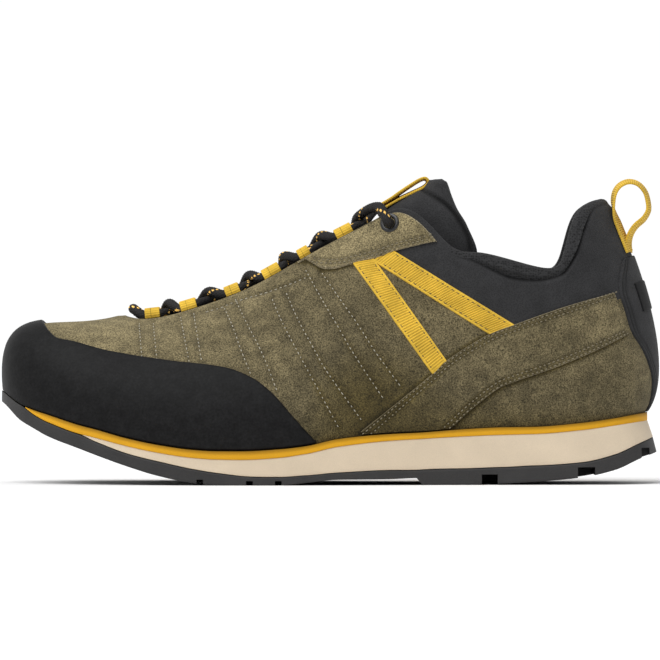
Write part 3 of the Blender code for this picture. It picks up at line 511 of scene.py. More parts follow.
def newMaterial(name, colour, roughness, settings=()):
    made = bpy.data.materials.new(name)
    made.use_nodes = True
    made.diffuse_color = (*colour, 1)
    shader = made.node_tree.nodes["Principled BSDF"]
    shader.inputs["Base Color"].default_value = (*colour, 1)
    shader.inputs["Roughness"].default_value = roughness
    for socket, value in dict(settings).items():
        shader.inputs[socket].default_value = value
    place = addNode(made.node_tree, "ShaderNodeTexCoord").outputs["Object"]
    return made, made.node_tree, shader, place


# Where nearly all values of a pattern lie
patternSpans = {"noise": (0.3, 0.7), "nap": (0.33, 0.67), "cell": (0.1, 0.6), "toneAndShade": (0.35, 0.65)}


def suedeMaterial(name, colour, settings):
    made, tree, shader, place = newMaterial(name, colour, settings["roughness"], {
        "Sheen Weight": settings["sheen"], "Sheen Roughness": settings["sheenRoughness"],
        "Sheen Tint": (*settings["sheenTint"], 1), "Specular IOR Level": settings["specular"]})
    spans = patternSpans
    mottle = addNoise(tree, place, settings["mottleScale"], detail=3.0, roughness=0.55,
                      distortion=0.6)
    patch = addNoise(tree, place, settings["patchScale"], distortion=0.3)
    nap = addNoise(tree, place, settings["napScale"], detail=3.0, roughness=0.65)
    amount = addMath(tree, "MULTIPLY", addRange(tree, mottle, *spans["noise"], *settings["mottle"]),
                     addRange(tree, patch, *spans["noise"], *settings["patch"]))
    amount = addMath(tree, "MULTIPLY", amount,
                     addRange(tree, nap, *spans["nap"], *settings["nap"]))
    # The stored painted light and shade, partly the suede's own colour; where it is darker the
    # colour is also made richer, where lighter paler
    toneAndShade = addStored(tree, "toneAndShade")
    amount = addMath(tree, "MULTIPLY", amount, toneAndShade)
    rich = addNode(tree, "ShaderNodeHueSaturation",
                   {"Saturation": addRange(tree, toneAndShade, *spans["toneAndShade"], *settings["shadeRichness"]),
                    "Color": (*colour, 1)})
    tree.links.new(addTint(tree, rich.outputs["Color"], amount), shader.inputs["Base Color"])
    soft = addBump(tree, mottle, settings["mottleDepth"])
    normal = addBump(tree, nap, settings["napDepth"], below=soft)
    tree.links.new(normal, shader.inputs["Normal"])
    return made


def tintedPattern(tree, shader, colour, pattern, span, limits, place, settings, shadeName):
    # Colours a shader by its pattern, a soft unevenness and the painted shade stored with the piece
    # if it has one
    soft = addNoise(tree, place, settings["softScale"])
    shade = addMath(tree, "MULTIPLY", addRange(tree, pattern, *span, *limits),
                    addRange(tree, soft, *patternSpans["noise"], *settings["soft"]))
    if shadeName:
        shade = addMath(tree, "MULTIPLY", shade, addStored(tree, shadeName))
    tree.links.new(addTint(tree, (*colour,), shade), shader.inputs["Base Color"])


def clothMaterial(name, colour, settings, shadeName=None):
    # Fine knit or mesh: small regular cells with a little unevenness
    made, tree, shader, place = newMaterial(name, colour, settings["roughness"], {
        "Sheen Weight": settings["sheen"], "Sheen Roughness": settings["sheenRoughness"],
        "Specular IOR Level": settings["specular"]})
    cells = addNode(tree, "ShaderNodeTexVoronoi", {"Vector": place, "Scale": settings["scale"],
                                                   "Randomness": settings["randomness"]})
    distance = cells.outputs["Distance"]
    tintedPattern(tree, shader, colour, distance, patternSpans["cell"], settings["cell"], place,
                  settings, shadeName)
    tree.links.new(addBump(tree, distance, settings["depth"]), shader.inputs["Normal"])
    return made


def rubberMaterial(name, colour, settings, shadeName=None):
    made, tree, shader, place = newMaterial(name, colour, settings["roughness"], {
        "Specular IOR Level": settings["specular"], "Coat Weight": settings["coat"],
        "Coat Roughness": settings["coatRoughness"]})
    grain = addNoise(tree, place, settings["grainScale"], detail=3.0, roughness=0.6)
    tintedPattern(tree, shader, colour, grain, patternSpans["noise"], settings["grain"], place,
                  settings, shadeName)
    tree.links.new(addBump(tree, grain, settings["grainDepth"]), shader.inputs["Normal"])
    return made


suedeLook = {"roughness": 0.95, "specular": 0.15, "sheen": 0.15, "sheenRoughness": 0.6,
             "sheenTint": (0.9, 0.82, 0.6), "mottleScale": 150, "patchScale": 45,
             "napScale": 1700, "mottle": (0.68, 1.32), "patch": (0.84, 1.16), "nap": (0.16, 1.84),
             "shadeRichness": (1.16, 0.88), "mottleDepth": 0.0004, "napDepth": 0.0004}
clothLook = {"roughness": 0.9, "specular": 0.25, "sheen": 0.05, "sheenRoughness": 0.5,
             "scale": 1500, "randomness": 0.35, "softScale": 120,
             "cell": (0.7, 1.35), "soft": (0.85, 1.15), "depth": 0.00012}
rubberLook = {"roughness": 0.6, "specular": 0.12, "coat": 0.02, "coatRoughness": 0.45,
              "grainScale": 2600, "softScale": 60, "grain": (0.85, 1.15), "soft": (0.9, 1.1),
              "grainDepth": 0.00003}
foamLook = {"roughness": 0.7, "specular": 0.3, "coat": 0.0, "coatRoughness": 0.45,
            "grainScale": 3000, "softScale": 50, "grain": (0.94, 1.06), "soft": (0.95, 1.05),
            "grainDepth": 0.00004}

suede = suedeMaterial("suede", (0.158, 0.125, 0.056), suedeLook)
suedeEdge = suedeMaterial("suede_cut_edge", (0.25, 0.205, 0.115), suedeLook)
# Neoprene with painted shade along its seams
neoprene = clothMaterial("neoprene", (0.021, 0.021, 0.022), {**clothLook, "randomness": 0.8},
                         "seamShade")
collarMesh = clothMaterial("collar_mesh", (0.0115, 0.0115, 0.012),
                           {**clothLook, "scale": 900, "depth": 0.0004, "randomness": 0.55,
                            "cell": (0.35, 2.3)})
liningCloth = clothMaterial("lining_cloth", (0.025, 0.025, 0.027), clothLook)
randRubber = rubberMaterial("rand_rubber", (0.0075, 0.0075, 0.0078),
                            {**rubberLook, "grainScale": 900, "grain": (0.6, 1.4),
                             "softScale": 220, "soft": (0.75, 1.25),
                             "grainDepth": 0.00006})
treadRubber = rubberMaterial("tread_rubber", (0.044, 0.043, 0.043), rubberLook)
# Yellow rubber whose stored edge values are painted shade
yellowRubber = rubberMaterial("yellow_rubber", (0.62, 0.31, 0.012),
                              {**foamLook, "specular": 0.2}, "edge")
foam = rubberMaterial("foam", (0.66, 0.55, 0.41), foamLook)
# Webbing with painted shade between its ribs
webbing = clothMaterial("webbing", (0.66, 0.42, 0.045),
                        {**clothLook, "cell": (0.85, 1.12), "scale": 2600, "depth": 0.00006},
                        "rib")
cordLook = {**clothLook, "scale": 3500, "roughness": 0.6, "sheen": 0.02}
# Cords with painted shade in their braid
laceBlack = clothMaterial("lace_black", (0.011, 0.010, 0.010), cordLook, "braid")
laceYellow = clothMaterial("lace_yellow", (0.95, 0.58, 0.14), cordLook, "braid")
eyeletMetal = newMaterial("eyelet_black", (0.015, 0.015, 0.016), 0.35)[0]
thread = newMaterial("thread_pale", (0.42, 0.39, 0.31), 0.7, {"Sheen Weight": 0.2})[0]
threadDark = newMaterial("thread_dark", (0.03, 0.027, 0.02), 0.7, {"Sheen Weight": 0.2})[0]
threadOlive = newMaterial("thread_olive", (0.21, 0.18, 0.115), 0.8)[0]
print("materials made")


def edgeShares(length, edge, step):
    # Shares across a sheet, close together at its two borders
    near = np.array([0.0, 0.04, 0.14, 0.3, 0.5, 0.75, 1.0]) * edge / length
    inner = np.linspace(near[-1], 1 - near[-1], max(int(length / step), 2) + 1)
    return np.concatenate([near[:-1], inner, 1 - near[:-1][::-1]])


def borderDistance(points):
    # How far each point of a grid is from the grid's border
    ahead = np.zeros(points.shape[:2])
    ahead[1:] = np.cumsum(np.linalg.norm(np.diff(points, axis=0), axis=2), axis=0)
    across = np.zeros(points.shape[:2])
    across[:, 1:] = np.cumsum(np.linalg.norm(np.diff(points, axis=1), axis=2), axis=1)
    return np.minimum(np.minimum(ahead, ahead[-1:] - ahead),
                      np.minimum(across, across[:, -1:] - across))


def roundedBy(distance, edge):
    return np.sqrt(np.clip(1 - (1 - np.clip(distance / edge, 0, 1))**2, 0, 1))


def cutEdgeSlots(border, width):
    # Material slots of a closed sheet: 1 on its borders and side walls, 0 elsewhere
    count, size = border.shape
    slots = np.zeros((count - 1, 2 * size), dtype=int)
    cells = np.maximum(np.maximum(border[:-1, :-1], border[1:, :-1]),
                       np.maximum(border[:-1, 1:], border[1:, 1:]))
    slots[:, :size - 1] = cells < width
    slots[:, [size - 1, 2 * size - 1]] = 1
    return np.concatenate([slots.ravel(), np.ones(2 * (size - 1), dtype=int)])


sheetLook = {"under": 0.0002, "cutWidth": 0.00045}    # below the surface, and the bare cut edge


def makeSheet(name, u, v, lift, edge, materials, relief=None, aboveFoam=True):
    # Closed sheet over the upper with rounded borders
    points = upperPoint(u, v)
    normals = upperNormal(u, v)
    border = borderDistance(points)
    height = lift * roundedBy(border, edge)
    if relief is not None:
        height = height + relief
    high = points + normals * height[..., None]
    low = points - normals * sheetLook["under"]
    if aboveFoam:
        high, low = aboveSole(high), aboveSole(low)
    slots = cutEdgeSlots(border, sheetLook["cutWidth"]) if len(materials) > 1 else None
    return ringPiece(name, frontAndBack(high, low), materials, faceSlots=slots)


def layGrid(side, lowEdge, highEdge, alongShares, acrossShares, fine=400):
    # Ribs and heights of a grid between two side view edges on one side of the upper
    at = np.linspace(0, 1, fine)
    low, high = [valuesAt(alongShares, at, evenPath(edge, fine)) for edge in (lowEdge, highEdge)]
    across = np.asarray(acrossShares)[None, :, None]
    flat = low[:, None] + (high - low)[:, None] * across
    u, v = placeOnSide(flat.reshape(-1, 2), side)
    u = u.reshape(flat.shape[:2])
    v = v.reshape(flat.shape[:2])
    if side > 0:
        u, v = u[::-1], v[::-1]
    return u, v


def sideEdge(points):
    # Smooth side view edge from shares of the length and heel height
    flat = [(xAt(along), height * shoe["heelHeight"]) for along, height in points]
    return smoothPath(flat, 12)


# Edges in side view, as shares of the shoe's length and of the heel height
randEdge = [(0.061, 0.568), (0.069, 0.547), (0.080, 0.519), (0.092, 0.498), (0.114, 0.488),
            (0.168, 0.456), (0.255, 0.425), (0.342, 0.402), (0.384, 0.367), (0.415, 0.313),
            (0.439, 0.251), (0.458, 0.202), (0.479, 0.150)]
bandTop = [(0.545, 0.183), (0.615, 0.310), (0.652, 0.380), (0.677, 0.432), (0.739, 0.519),
           (0.777, 0.552), (0.852, 0.613), (0.925, 0.660)]
bandBottom = [(0.552, 0.176), (0.610, 0.181), (0.673, 0.190), (0.711, 0.259), (0.752, 0.331),
              (0.774, 0.352), (0.835, 0.401), (0.900, 0.463), (0.943, 0.512)]
eyestayEdge = [(0.440, 0.800), (0.459, 0.782), (0.474, 0.762), (0.486, 0.7475), (0.498, 0.742),
               (0.509, 0.7435), (0.525, 0.752), (0.542, 0.763), (0.574, 0.780), (0.601, 0.805),
               (0.636, 0.826), (0.664, 0.840)]
backstayEdge = [(0.974, 0.251), (0.981, 0.293), (0.983, 0.359), (0.977, 0.414), (0.968, 0.463),
                (0.951, 0.521), (0.941, 0.599), (0.932, 0.669), (0.9345, 0.728), (0.943, 0.790)]
# Corners of the straps: front and back of the top, then of the foot
straps = {
    "steep": ((0.540, 0.742), (0.574, 0.754), (0.650, 0.387), (0.673, 0.432)),
    "shallow": ((0.578, 0.748), (0.603, 0.796), (0.734, 0.523), (0.772, 0.557)),
}
# Lace loops along the shoe, and how wide each is beside the usual one
loops = [(0.232, 1.0), (0.288, 1.1), (0.355, 1.0), (0.415, 1.25), (0.464, 0.8), (0.524, 1.2)]
eyeletPlace = (0.591, 0.899)


def heightCurve(points):
    return easyCurve([(xAt(along), height * shoe["heelHeight"]) for along, height in points])


# Stitch rows of the vamp, in photograph pixels from the throat down
vampRows = [
    [(140, 322), (144, 357)], [(154, 322), (159, 360)], [(181, 316), (191, 362)],
    [(194, 312), (203, 360)], [(224, 306), (233, 325), (241, 347), (252, 374)],
    [(235, 298), (247, 322), (263, 353), (278, 390)],
    [(272, 298), (282, 321), (299, 353), (318, 388), (339, 427)],
    [(286, 292), (299, 321), (315, 350), (325, 368), (362, 420)],
    [(305, 269), (321, 298), (337, 325), (352, 351), (383, 398)],
    [(321, 272), (341, 301), (356, 322), (374, 350), (400, 386)],
    [(205, 312), (241, 299.5), (267, 292), (287, 285), (307, 277)],
]


def rowOnUpper(pixels, side, step=0.0008):
    # A side view row laid on the upper: ribs, heights and points
    flat = smoothPath(fromPhoto(pixels), 10)
    count = max(int(pathLength(flat) / step), 4)
    u, v = placeOnSide(evenPath(flat, count), side)
    if len(u) > 8:
        u = np.concatenate([u[:2], smoothed(u, 5), u[-2:]])
        v = np.concatenate([v[:2], smoothed(v, 5), v[-2:]])
    return u, v, upperPoint(u, v)


vampLines = [rowOnUpper(row, side) for side in (-1, 1) for row in vampRows]


def rowsAt(u, v, lift):
    # Points above the upper, and their normals
    return upperPoint(u, v) + upperNormal(u, v) * lift, upperNormal(u, v)


def seamRelief(points, rows, depth, width, puff=0.0, reach=0.004):
    # Stitch troughs along rows of points, and soft swelling away from them
    distance = rowDistance(rows)(points.reshape(-1, 3)).reshape(points.shape[:-1])
    return troughs(distance, depth, width) + puff * (1 - np.exp(-(distance / reach)**2))


# Side view places in the photograph: the seam under the padded collar, and the line on which
# the suede of the vamp stops between the straps
rollSeam = fromPhoto([(449, 246), (457, 256), (467, 259), (493, 271), (511, 278), (535, 280),
                      (560, 274), (571, 259), (582, 229), (594, 207), (612, 200)])
rollCurve = easyCurve(rollSeam)
collarStart = rollSeam[0][0]
strapMiddle = fromPhoto([(389, 258), (500, 331)])
strapCurve = easyCurve(strapMiddle)
knitStart, bandStart = strapMiddle[0][0], strapMiddle[1][0]
bandTopCurve = heightCurve(bandTop)
# Painted shade along the neoprene's seams: how wide and how dark
seamLook = {"width": 0.0008, "dark": 0.75}

upperLook = {
    "around": 720, "up": 96, "rim": 7, "liningUp": 22,     # points of the mesh
    "spread": 0.9,          # below 1 the rows lie closer towards the topline
    "fade": 0.03,           # the relief ends this share below the topline
    "stitchDepth": 0.0007, "stitchWidth": 0.0014, "puff": 0.0007, "reach": 0.006,
    "seamDepth": 0.0017, "seamWidth": 0.0011, "seamSlope": 0.8,
    "rollPuff": 0.0013, "rollOver": 0.004, "creaseWidth": 0.003,
    "bandTuck": 0.003,      # how far the knit reaches under the heel band
    "collarRows": 8,        # rows of mesh over the collar's inner side
    "stitchShade": (0.42, 0.0012), "edgeShade": (0.72, 0.0013),
}

# Soft creases: place in side view, turn, length and depth
creases = [(-0.062, 0.068, -0.5, 0.012, 0.0005), (-0.047, 0.078, -0.7, 0.014, 0.0006),
           (-0.072, 0.075, -0.2, 0.012, -0.0004), (-0.020, 0.052, 0.9, 0.018, 0.0004),
           (0.020, 0.058, 1.0, 0.016, 0.0004), (-0.002, 0.045, 0.8, 0.016, -0.0003)]


def upperRelief(points, rows):
    # Stitch troughs of the vamp, the collar's seam and roll, and soft creases over the ball
    look = upperLook
    x, z = points[..., 0], points[..., 2]
    relief = seamRelief(points, rows, look["stitchDepth"], look["stitchWidth"], look["puff"],
                        look["reach"])
    collar = x > collarStart
    above = z - rollCurve(x)
    away = np.abs(above) * look["seamSlope"]
    relief = relief + np.where(collar, troughs(away, look["seamDepth"], look["seamWidth"]), 0)
    swell = np.clip(above / look["rollOver"], 0, 1)
    relief = relief + np.where(collar, look["rollPuff"] * swell * (2 - swell), 0)
    for cx, cz, turn, length, depth in creases:
        along = (x - cx) * math.cos(turn) + (z - cz) * math.sin(turn)
        across = -(x - cx) * math.sin(turn) + (z - cz) * math.cos(turn)
        away = (along / length)**2 + (across / look["creaseWidth"])**2
        relief = relief - depth * np.exp(-away)
    return relief


def overlayEdges():
    # Points where the edges of the suede overlays lie on the upper
    rows = []
    for side in (-1, 1):
        for edge in (bandTop, bandBottom, eyestayEdge):
            u, v = placeOnSide(evenPath(sideEdge(edge), 200), side)
            rows.append(upperPoint(u, v))
    return rows


def upperRim(outer, inner):
    # Round rows over the topline, from the outer face to the lining
    upward = outer[:, -1] - outer[:, -2]
    across = inner[:, 0] - outer[:, -1]
    upward -= across * (np.sum(upward * across, axis=1) / np.sum(across**2, axis=1))[:, None]
    upward /= np.linalg.norm(upward, axis=1, keepdims=True)
    radius = np.linalg.norm(across, axis=1, keepdims=True) / 2
    middle = (outer[:, -1] + inner[:, 0]) / 2
    turns = np.linspace(0, math.pi, upperLook["rim"] + 2)[1:-1]
    return np.stack([middle - across / 2 * math.cos(turn) + upward * radius * math.sin(turn)
                     for turn in turns], axis=1)


def upperSlots(rings):
    # Material of each face: 0 suede, 1 knit, 2 collar mesh, 3 lining
    look = upperLook
    faces = np.array(ringFaces(rings.shape[0], rings.shape[1], closed=True))
    corners = rings.reshape(-1, 3)[faces].mean(axis=1)
    x, z = corners[:, 0], corners[:, 2]
    row = np.tile(np.arange(rings.shape[1]), rings.shape[0])
    rim = look["up"] - 1
    outside = row < look["up"] + look["rim"] // 2
    collar = x > collarStart
    knitted = (x > knitStart) & (z > strapCurve(x)) & (x <= bandStart)
    knitted |= (x > bandStart) & (z > bandTopCurve(x) - look["bandTuck"])
    slots = np.full(len(faces), 3)
    slots[outside] = 0
    slots[outside & knitted] = 1
    slots[outside & collar & (z > rollCurve(x))] = 2
    slots[collar & (row >= rim) & (row < rim + 1 + look["rim"] + look["collarRows"])] = 2
    return slots


def makeUpper(rows):
    look = upperLook
    u = np.linspace(0, 1, look["around"] + 1)[:-1]
    v = np.linspace(0, 1, look["up"])**look["spread"]
    u, v = np.meshgrid(u, v, indexing="ij")
    outer = upperPoint(u, v)
    relief = upperRelief(outer, rows) * np.clip((1 - v) / look["fade"], 0, 1)
    outer = outer + upperNormal(u, v) * relief[..., None]
    lu, lv = np.meshgrid(u[:, 0], np.linspace(1, 0, look["liningUp"]), indexing="ij")
    inner = upperPoint(lu, lv) - upperNormal(lu, lv) * wallThickness(lu, lv)[..., None]
    inner[:, -1, 2] = upperPoint(lu[:, -1], 0.0)[:, 2]
    inner = aboveSole(inner)
    rings = np.concatenate([outer, upperRim(outer, inner), inner], axis=1)
    piece = ringPiece("upper_shell", rings, [suede, neoprene, collarMesh, liningCloth],
                      closed=True, faceSlots=upperSlots(rings), angle=70)
    # Painted shade beside the vamp's stitch rows and a painted shadow line along the overlays'
    # edges
    paintSuedeLightAndShade(piece, 1.0, [(rows, *look["stitchShade"]), (overlayEdges(), *look["edgeShade"])])
    # Painted shade along the seam under the padded collar
    x, z = rings[..., 0], rings[..., 2]
    folded = np.where(x > collarStart, np.exp(-((z - rollCurve(x)) / seamLook["width"])**2), 0)
    storeShade(piece, "seamShade", 1 - seamLook["dark"] * folded)
    return finishPiece(piece, "suede", "upper")


randLook = {"thickness": 0.0020, "edge": 0.0016, "endBorder": 0.002, "border": 0.0018,
            "cell": 0.0011, "height": 0.045, "leastHeight": 0.02, "searched": (0.01, 0.95)}


def makeRand():
    look = randLook
    edge = heightCurve(randEdge)
    tip, last = xAt(randEdge[0][0]), xAt(randEdge[-1][0])
    feet = upperPoint(footSamples, 0.0)[:, 0]
    outerEnd = footSamples[(footSamples < heelU) & (feet < last)].max()
    innerEnd = footSamples[(footSamples > heelU) & (feet < last)].min() - 1
    length = pathLength(upperPoint(np.linspace(innerEnd, outerEnd, 400), 0.0))
    around = innerEnd + (outerEnd - innerEnd) * edgeShares(length, look["endBorder"], look["cell"])
    top = crossingV(around, lambda x: np.where(x < tip, shoe["heelHeight"], edge(x)),
                    *look["searched"])
    top = np.maximum(top, look["leastHeight"])
    top[1:-1] = smoothed(top, 3)
    shares = edgeShares(look["height"], look["border"], look["cell"])
    v = top[:, None] * shares[None, :]
    u = np.repeat(around[:, None], len(shares), axis=1)
    piece = makeSheet("toe_rand_rubber", u, v, shoe["overlayGap"] + look["thickness"],
                      look["edge"], [randRubber])
    return finishPiece(piece, "rand_rubber", "toe_rand")


# Heel bands and eyestays: their size and cells, and their stitch rows in photograph pixels
bandLook = {
    "length": 0.130, "height": 0.05, "border": 0.0011, "cell": 0.0011,
    "lift": 0.0020, "edge": 0.0004, "stitchDepth": 0.0006, "stitchWidth": 0.0009, "fade": 0.001,
    "toneAndShade": 1.10, "stitchShade": (0.45, 0.0011), "threadSink": 0.00030,
    "rows": [
        [(360, 433.5), (406, 396), (430, 376), (447, 361), (488, 336), (513, 327), (562, 309.5),
         (613, 293)],
        [(368, 434), (408, 399.5), (432, 379.5), (449, 364.5), (490, 340), (514, 331),
         (563, 313.5), (612, 297)],
        [(446, 428), (470, 406.5), (497, 386), (511, 380), (551, 366), (594, 348), (624, 333.5)],
        [(441, 427), (467, 403.5), (495, 382), (510, 376), (550, 362), (593, 344), (620, 332)],
    ],
}
eyestayLook = {
    "length": 0.07, "height": 0.02, "border": 0.0009, "cell": 0.0008,
    "from": 0.452, "to": 0.661, "sampled": (0.43, 0.67), "searched": (0.4, 0.985),
    "top": 0.985, "lowest": 0.981, "lean": 0.003, "leanFrom": 0.56, "leanOver": 0.10,
    "lift": 0.0021, "edge": 0.0004, "stitchDepth": 0.0005, "stitchWidth": 0.0008, "fade": 0.001,
    "toneAndShade": 1.66, "stitchShade": (0.40, 0.0010), "threadSink": 0.00022,
    "rows": [
        [(312, 264), (322, 265.5), (342, 265), (358, 261), (379, 256), (397, 249), (420, 243),
         (436, 239)],
        [(314, 260.5), (323, 262), (342, 261.5), (358, 257.5), (378, 252.5), (396, 245.5),
         (419, 239.5), (434, 236)],
    ],
}


def makeOverlay(name, node, side, u, v, look):
    # Suede piece with a cut edge, pressed down along its stitch rows
    points = upperPoint(u, v)
    lines = [rowOnUpper(row, side) for row in look["rows"]]
    raised = [rowsAt(rowU, rowV, look["lift"])[0] for rowU, rowV, line in lines]
    relief = seamRelief(points, [line[2] for line in lines], look["stitchDepth"],
                        look["stitchWidth"])
    piece = makeSheet(name, u, v, look["lift"], look["edge"], [suede, suedeEdge],
                      relief * roundedBy(borderDistance(points), look["fade"]))
    # Painted light and shade, with painted shade beside its stitch rows
    paintSuedeLightAndShade(piece, look["toneAndShade"], [(raised, *look["stitchShade"])])
    return finishPiece(piece, "suede", node)


def makeBand(side, label):
    look = bandLook
    along = edgeShares(look["length"], look["border"], look["cell"])
    across = edgeShares(look["height"], look["border"], look["cell"])
    u, v = layGrid(side, sideEdge(bandBottom), sideEdge(bandTop), along, across)
    return makeOverlay(f"heel_band_{label}", f"quarter_band_{label}", side, u, v, look)


def makeEyestay(side, label):
    look = eyestayLook
    edge = heightCurve(eyestayEdge)
    shares = edgeShares(look["length"], look["border"], look["cell"])
    along = look["from"] + (look["to"] - look["from"]) * shares
    samples = np.linspace(*look["sampled"], 160)
    lows = np.minimum(crossingV(toplineU(samples, side), edge, *look["searched"]), look["lowest"])
    across = edgeShares(look["height"], look["border"], look["cell"])
    lean = look["lean"] * np.clip((along - look["leanFrom"]) / look["leanOver"], 0, 1)
    place = along[:, None] - lean[:, None] * (1 - across)[None, :]
    low = np.interp(place, samples, lows)
    v = low + (look["top"] - low) * across[None, :]
    u = toplineU(place, side)
    if side > 0:
        u, v = u[::-1], v[::-1]
    return makeOverlay(f"eyestay_suede_{label}", f"eyestay_{label}", side, u, v, look)


strapLook = {"width": 0.010, "thickness": 0.0010, "border": 0.0006, "cell": 0.0009,
             "step": 0.00021, "edge": 0.0005, "top": 0.0050, "foot": 0.002,
             "pitch": 0.00118, "ribHeight": 0.00018, "plain": 0.0007, "blend": 0.0005,
             "stitchIn": 0.0016, "grooveDepth": 0.0002, "grooveWidth": 0.0004}
strapLines = {}
ribDark = 0.30          # painted shade of the webbing between its ribs


def ribShade(wave, inside=1.0):
    return 1 - ribDark * inside * (0.5 - 0.5 * wave)**2


def makeStrap(name, side, label):
    look = strapLook
    topFront, topBack, footFront, footBack = [
        np.array((xAt(along), height * shoe["heelHeight"])) for along, height in straps[name]]
    reach = (topFront - footFront) / np.linalg.norm(topFront - footFront)
    front, back = [np.linspace(top + reach * look["top"], foot - reach * look["foot"], 60)
                   for top, foot in ((topFront, footFront), (topBack, footBack))]
    length = float(np.linalg.norm(front[-1] - front[0]))
    along = np.linspace(0, 1, int(length / look["step"]))
    across = edgeShares(look["width"], look["border"], look["cell"])
    u, v = layGrid(side, front, back, along, across)
    points = upperPoint(u, v)
    walked = walkedAlong(points[:, len(across) // 2])
    border = borderDistance(points)
    wave = np.cos(2 * math.pi * walked / look["pitch"])[:, None] * np.ones_like(border)
    inside = np.clip((border - look["plain"]) / look["blend"], 0, 1)
    groove = troughs(border - look["stitchIn"], look["grooveDepth"], look["grooveWidth"])
    piece = makeSheet(f"strap_{name}_webbing_{label}", u, v,
                      shoe["overlayGap"] + look["thickness"], look["edge"], [webbing],
                      look["ribHeight"] * wave * inside + groove, aboveFoam=False)
    # Painted shade between the ribs
    shade = ribShade(wave, inside)
    storeShade(piece, "rib", frontAndBack(shade, shade))
    strapLines[(name, side)] = (u, v, points)
    return finishPiece(piece, "webbing", f"strap_{name}_{label}")


backstayLook = {"height": 0.085, "width": 0.06, "border": 0.0009, "cell": 0.0012,
                "edge": 0.0008, "searched": (0.3, 1.0), "widest": 0.12, "leastTurn": 22,
                "seams": (0.0020, 0.0042), "seamDepth": 0.0003, "seamWidth": 0.0006}


def makeBackstay():
    look = backstayLook
    top = backstayEdge[-1][1] * shoe["heelHeight"]
    reach = crossingV([heelU], lambda x: np.full_like(x, top), *look["searched"])[0]
    heights = reach * edgeShares(look["height"], look["border"], look["cell"])
    edgeX = easyCurve([(height * shoe["heelHeight"], xAt(along)) for along, height in backstayEdge])
    shares = edgeShares(look["width"], look["border"], look["cell"])
    limits = np.zeros((len(heights), 2))
    for n, v in enumerate(heights):
        for k, side in enumerate((-1, 1)):
            turns = np.linspace(0, look["widest"], 400) * side
            points = upperPoint(heelU + turns, v)
            ahead = points[:, 0] - edgeX(points[:, 2])
            limits[n, k] = turns[max(int(np.argmax(ahead < 0)) - 1, look["leastTurn"])]
    for k in (0, 1):
        limits[3:-3, k] = smoothed(limits[:, k], 7)
    u = heelU + limits[:, :1] + (limits[:, 1:] - limits[:, :1]) * shares[None, :]
    v = np.repeat(heights[:, None], len(shares), axis=1)
    u, v = u.T, v.T
    points = upperPoint(u, v)
    ahead = np.cumsum(np.linalg.norm(np.diff(points, axis=0, prepend=points[:1]), axis=2), axis=0)
    sideways = np.minimum(ahead, ahead[-1:] - ahead)
    relief = sum(troughs(sideways - place, look["seamDepth"], look["seamWidth"])
                 for place in look["seams"])
    piece = makeSheet("backstay_cover", u, v, shoe["overlayGap"] + shoe["overlay"], look["edge"],
                      [neoprene], relief)
    # Painted shade along its two seams
    folded = 1 + seamLook["dark"] * relief / look["seamDepth"]
    storeShade(piece, "seamShade", frontAndBack(folded, folded))
    return finishPiece(piece, "neoprene", "backstay")


patchLook = {"half": 0.018, "low": 0.52, "height": 0.12, "rise": 0.0006, "border": 0.0006}


def makePatch():
    look = patchLook
    across = 2 * look["half"] * edgeShares(0.026, look["border"], look["border"]) - look["half"]
    v = look["low"] + look["height"] * edgeShares(0.016, look["border"], look["border"])
    u, v = np.meshgrid(heelU + across, v, indexing="ij")
    base = shoe["overlayGap"] + shoe["overlay"]
    piece = makeSheet("heel_patch_plain", u, v, base + look["rise"], look["border"], [randRubber])
    return finishPiece(piece, "rand_rubber", "heel_patch")


# Layers of the sole: how far they stand out at the sides and behind the heel, where they start
# along the shoe and how their corners are rounded
soleLook = {
    "heelFrom": 0.85, "heelTo": 0.97,       # the heel's own margins come in over this stretch
    "yellow": (0.0030, 0.0020), "foamTop": (0.0027, 0.0020), "foamFoot": (0.0027, 0.0045),
    "treadTop": (0.0030, 0.0045), "treadFoot": (0.0030, 0.0062),
    "yellowStart": 0.042, "foamStart": 0.130,
    "yellowBevel": 0.0003, "foamBevel": 0.0002, "treadBevel": 0.0007, "footbedBevel": 0.0008,
    "footbedGap": 0.0012, "footbed": 0.0040,
    "sections": 170, "firstTurn": 0.03, "lastTurn": 0.025,
    "sideRows": 11, "sideSpan": (0.16, 0.84), "cornerRows": 4,
    "mostBevelUp": 0.13, "mostBevelIn": 0.2,
}


def soleOutline(margin, heelMargin):
    # Both sides of the sole in plan, each from toe to heel
    foot = upperPoint(footSamples, 0.0)[:, :2]
    ahead = np.roll(foot, -1, axis=0) - np.roll(foot, 1, axis=0)
    outward = np.stack([ahead[:, 1], -ahead[:, 0]], axis=1)
    outward /= np.linalg.norm(outward, axis=1, keepdims=True)
    start, end = xAt(soleLook["heelFrom"]), xAt(soleLook["heelTo"])
    blend = np.clip((foot[:, 0] - start) / (end - start), 0, 1)
    blend = blend * blend * (3 - 2 * blend)
    points = foot + outward * (margin + (heelMargin - margin) * blend)[:, None]
    points = np.roll(points, -int(np.argmin(points[:, 0])), axis=0)
    heel = int(np.argmax(points[:, 0]))
    return points[:heel + 1], np.vstack([points[heel:], points[:1]])[::-1]


def outlineAt(halves, shares, start):
    # Places from start to heel, with both sides of an outline there
    outerHalf, innerHalf = halves
    low = max(outerHalf[0, 0], start)
    x = low + (outerHalf[-1, 0] - low) * shares
    return x, np.interp(x, outerHalf[:, 0], outerHalf[:, 1]), \
        np.interp(x, innerHalf[:, 0], innerHalf[:, 1])


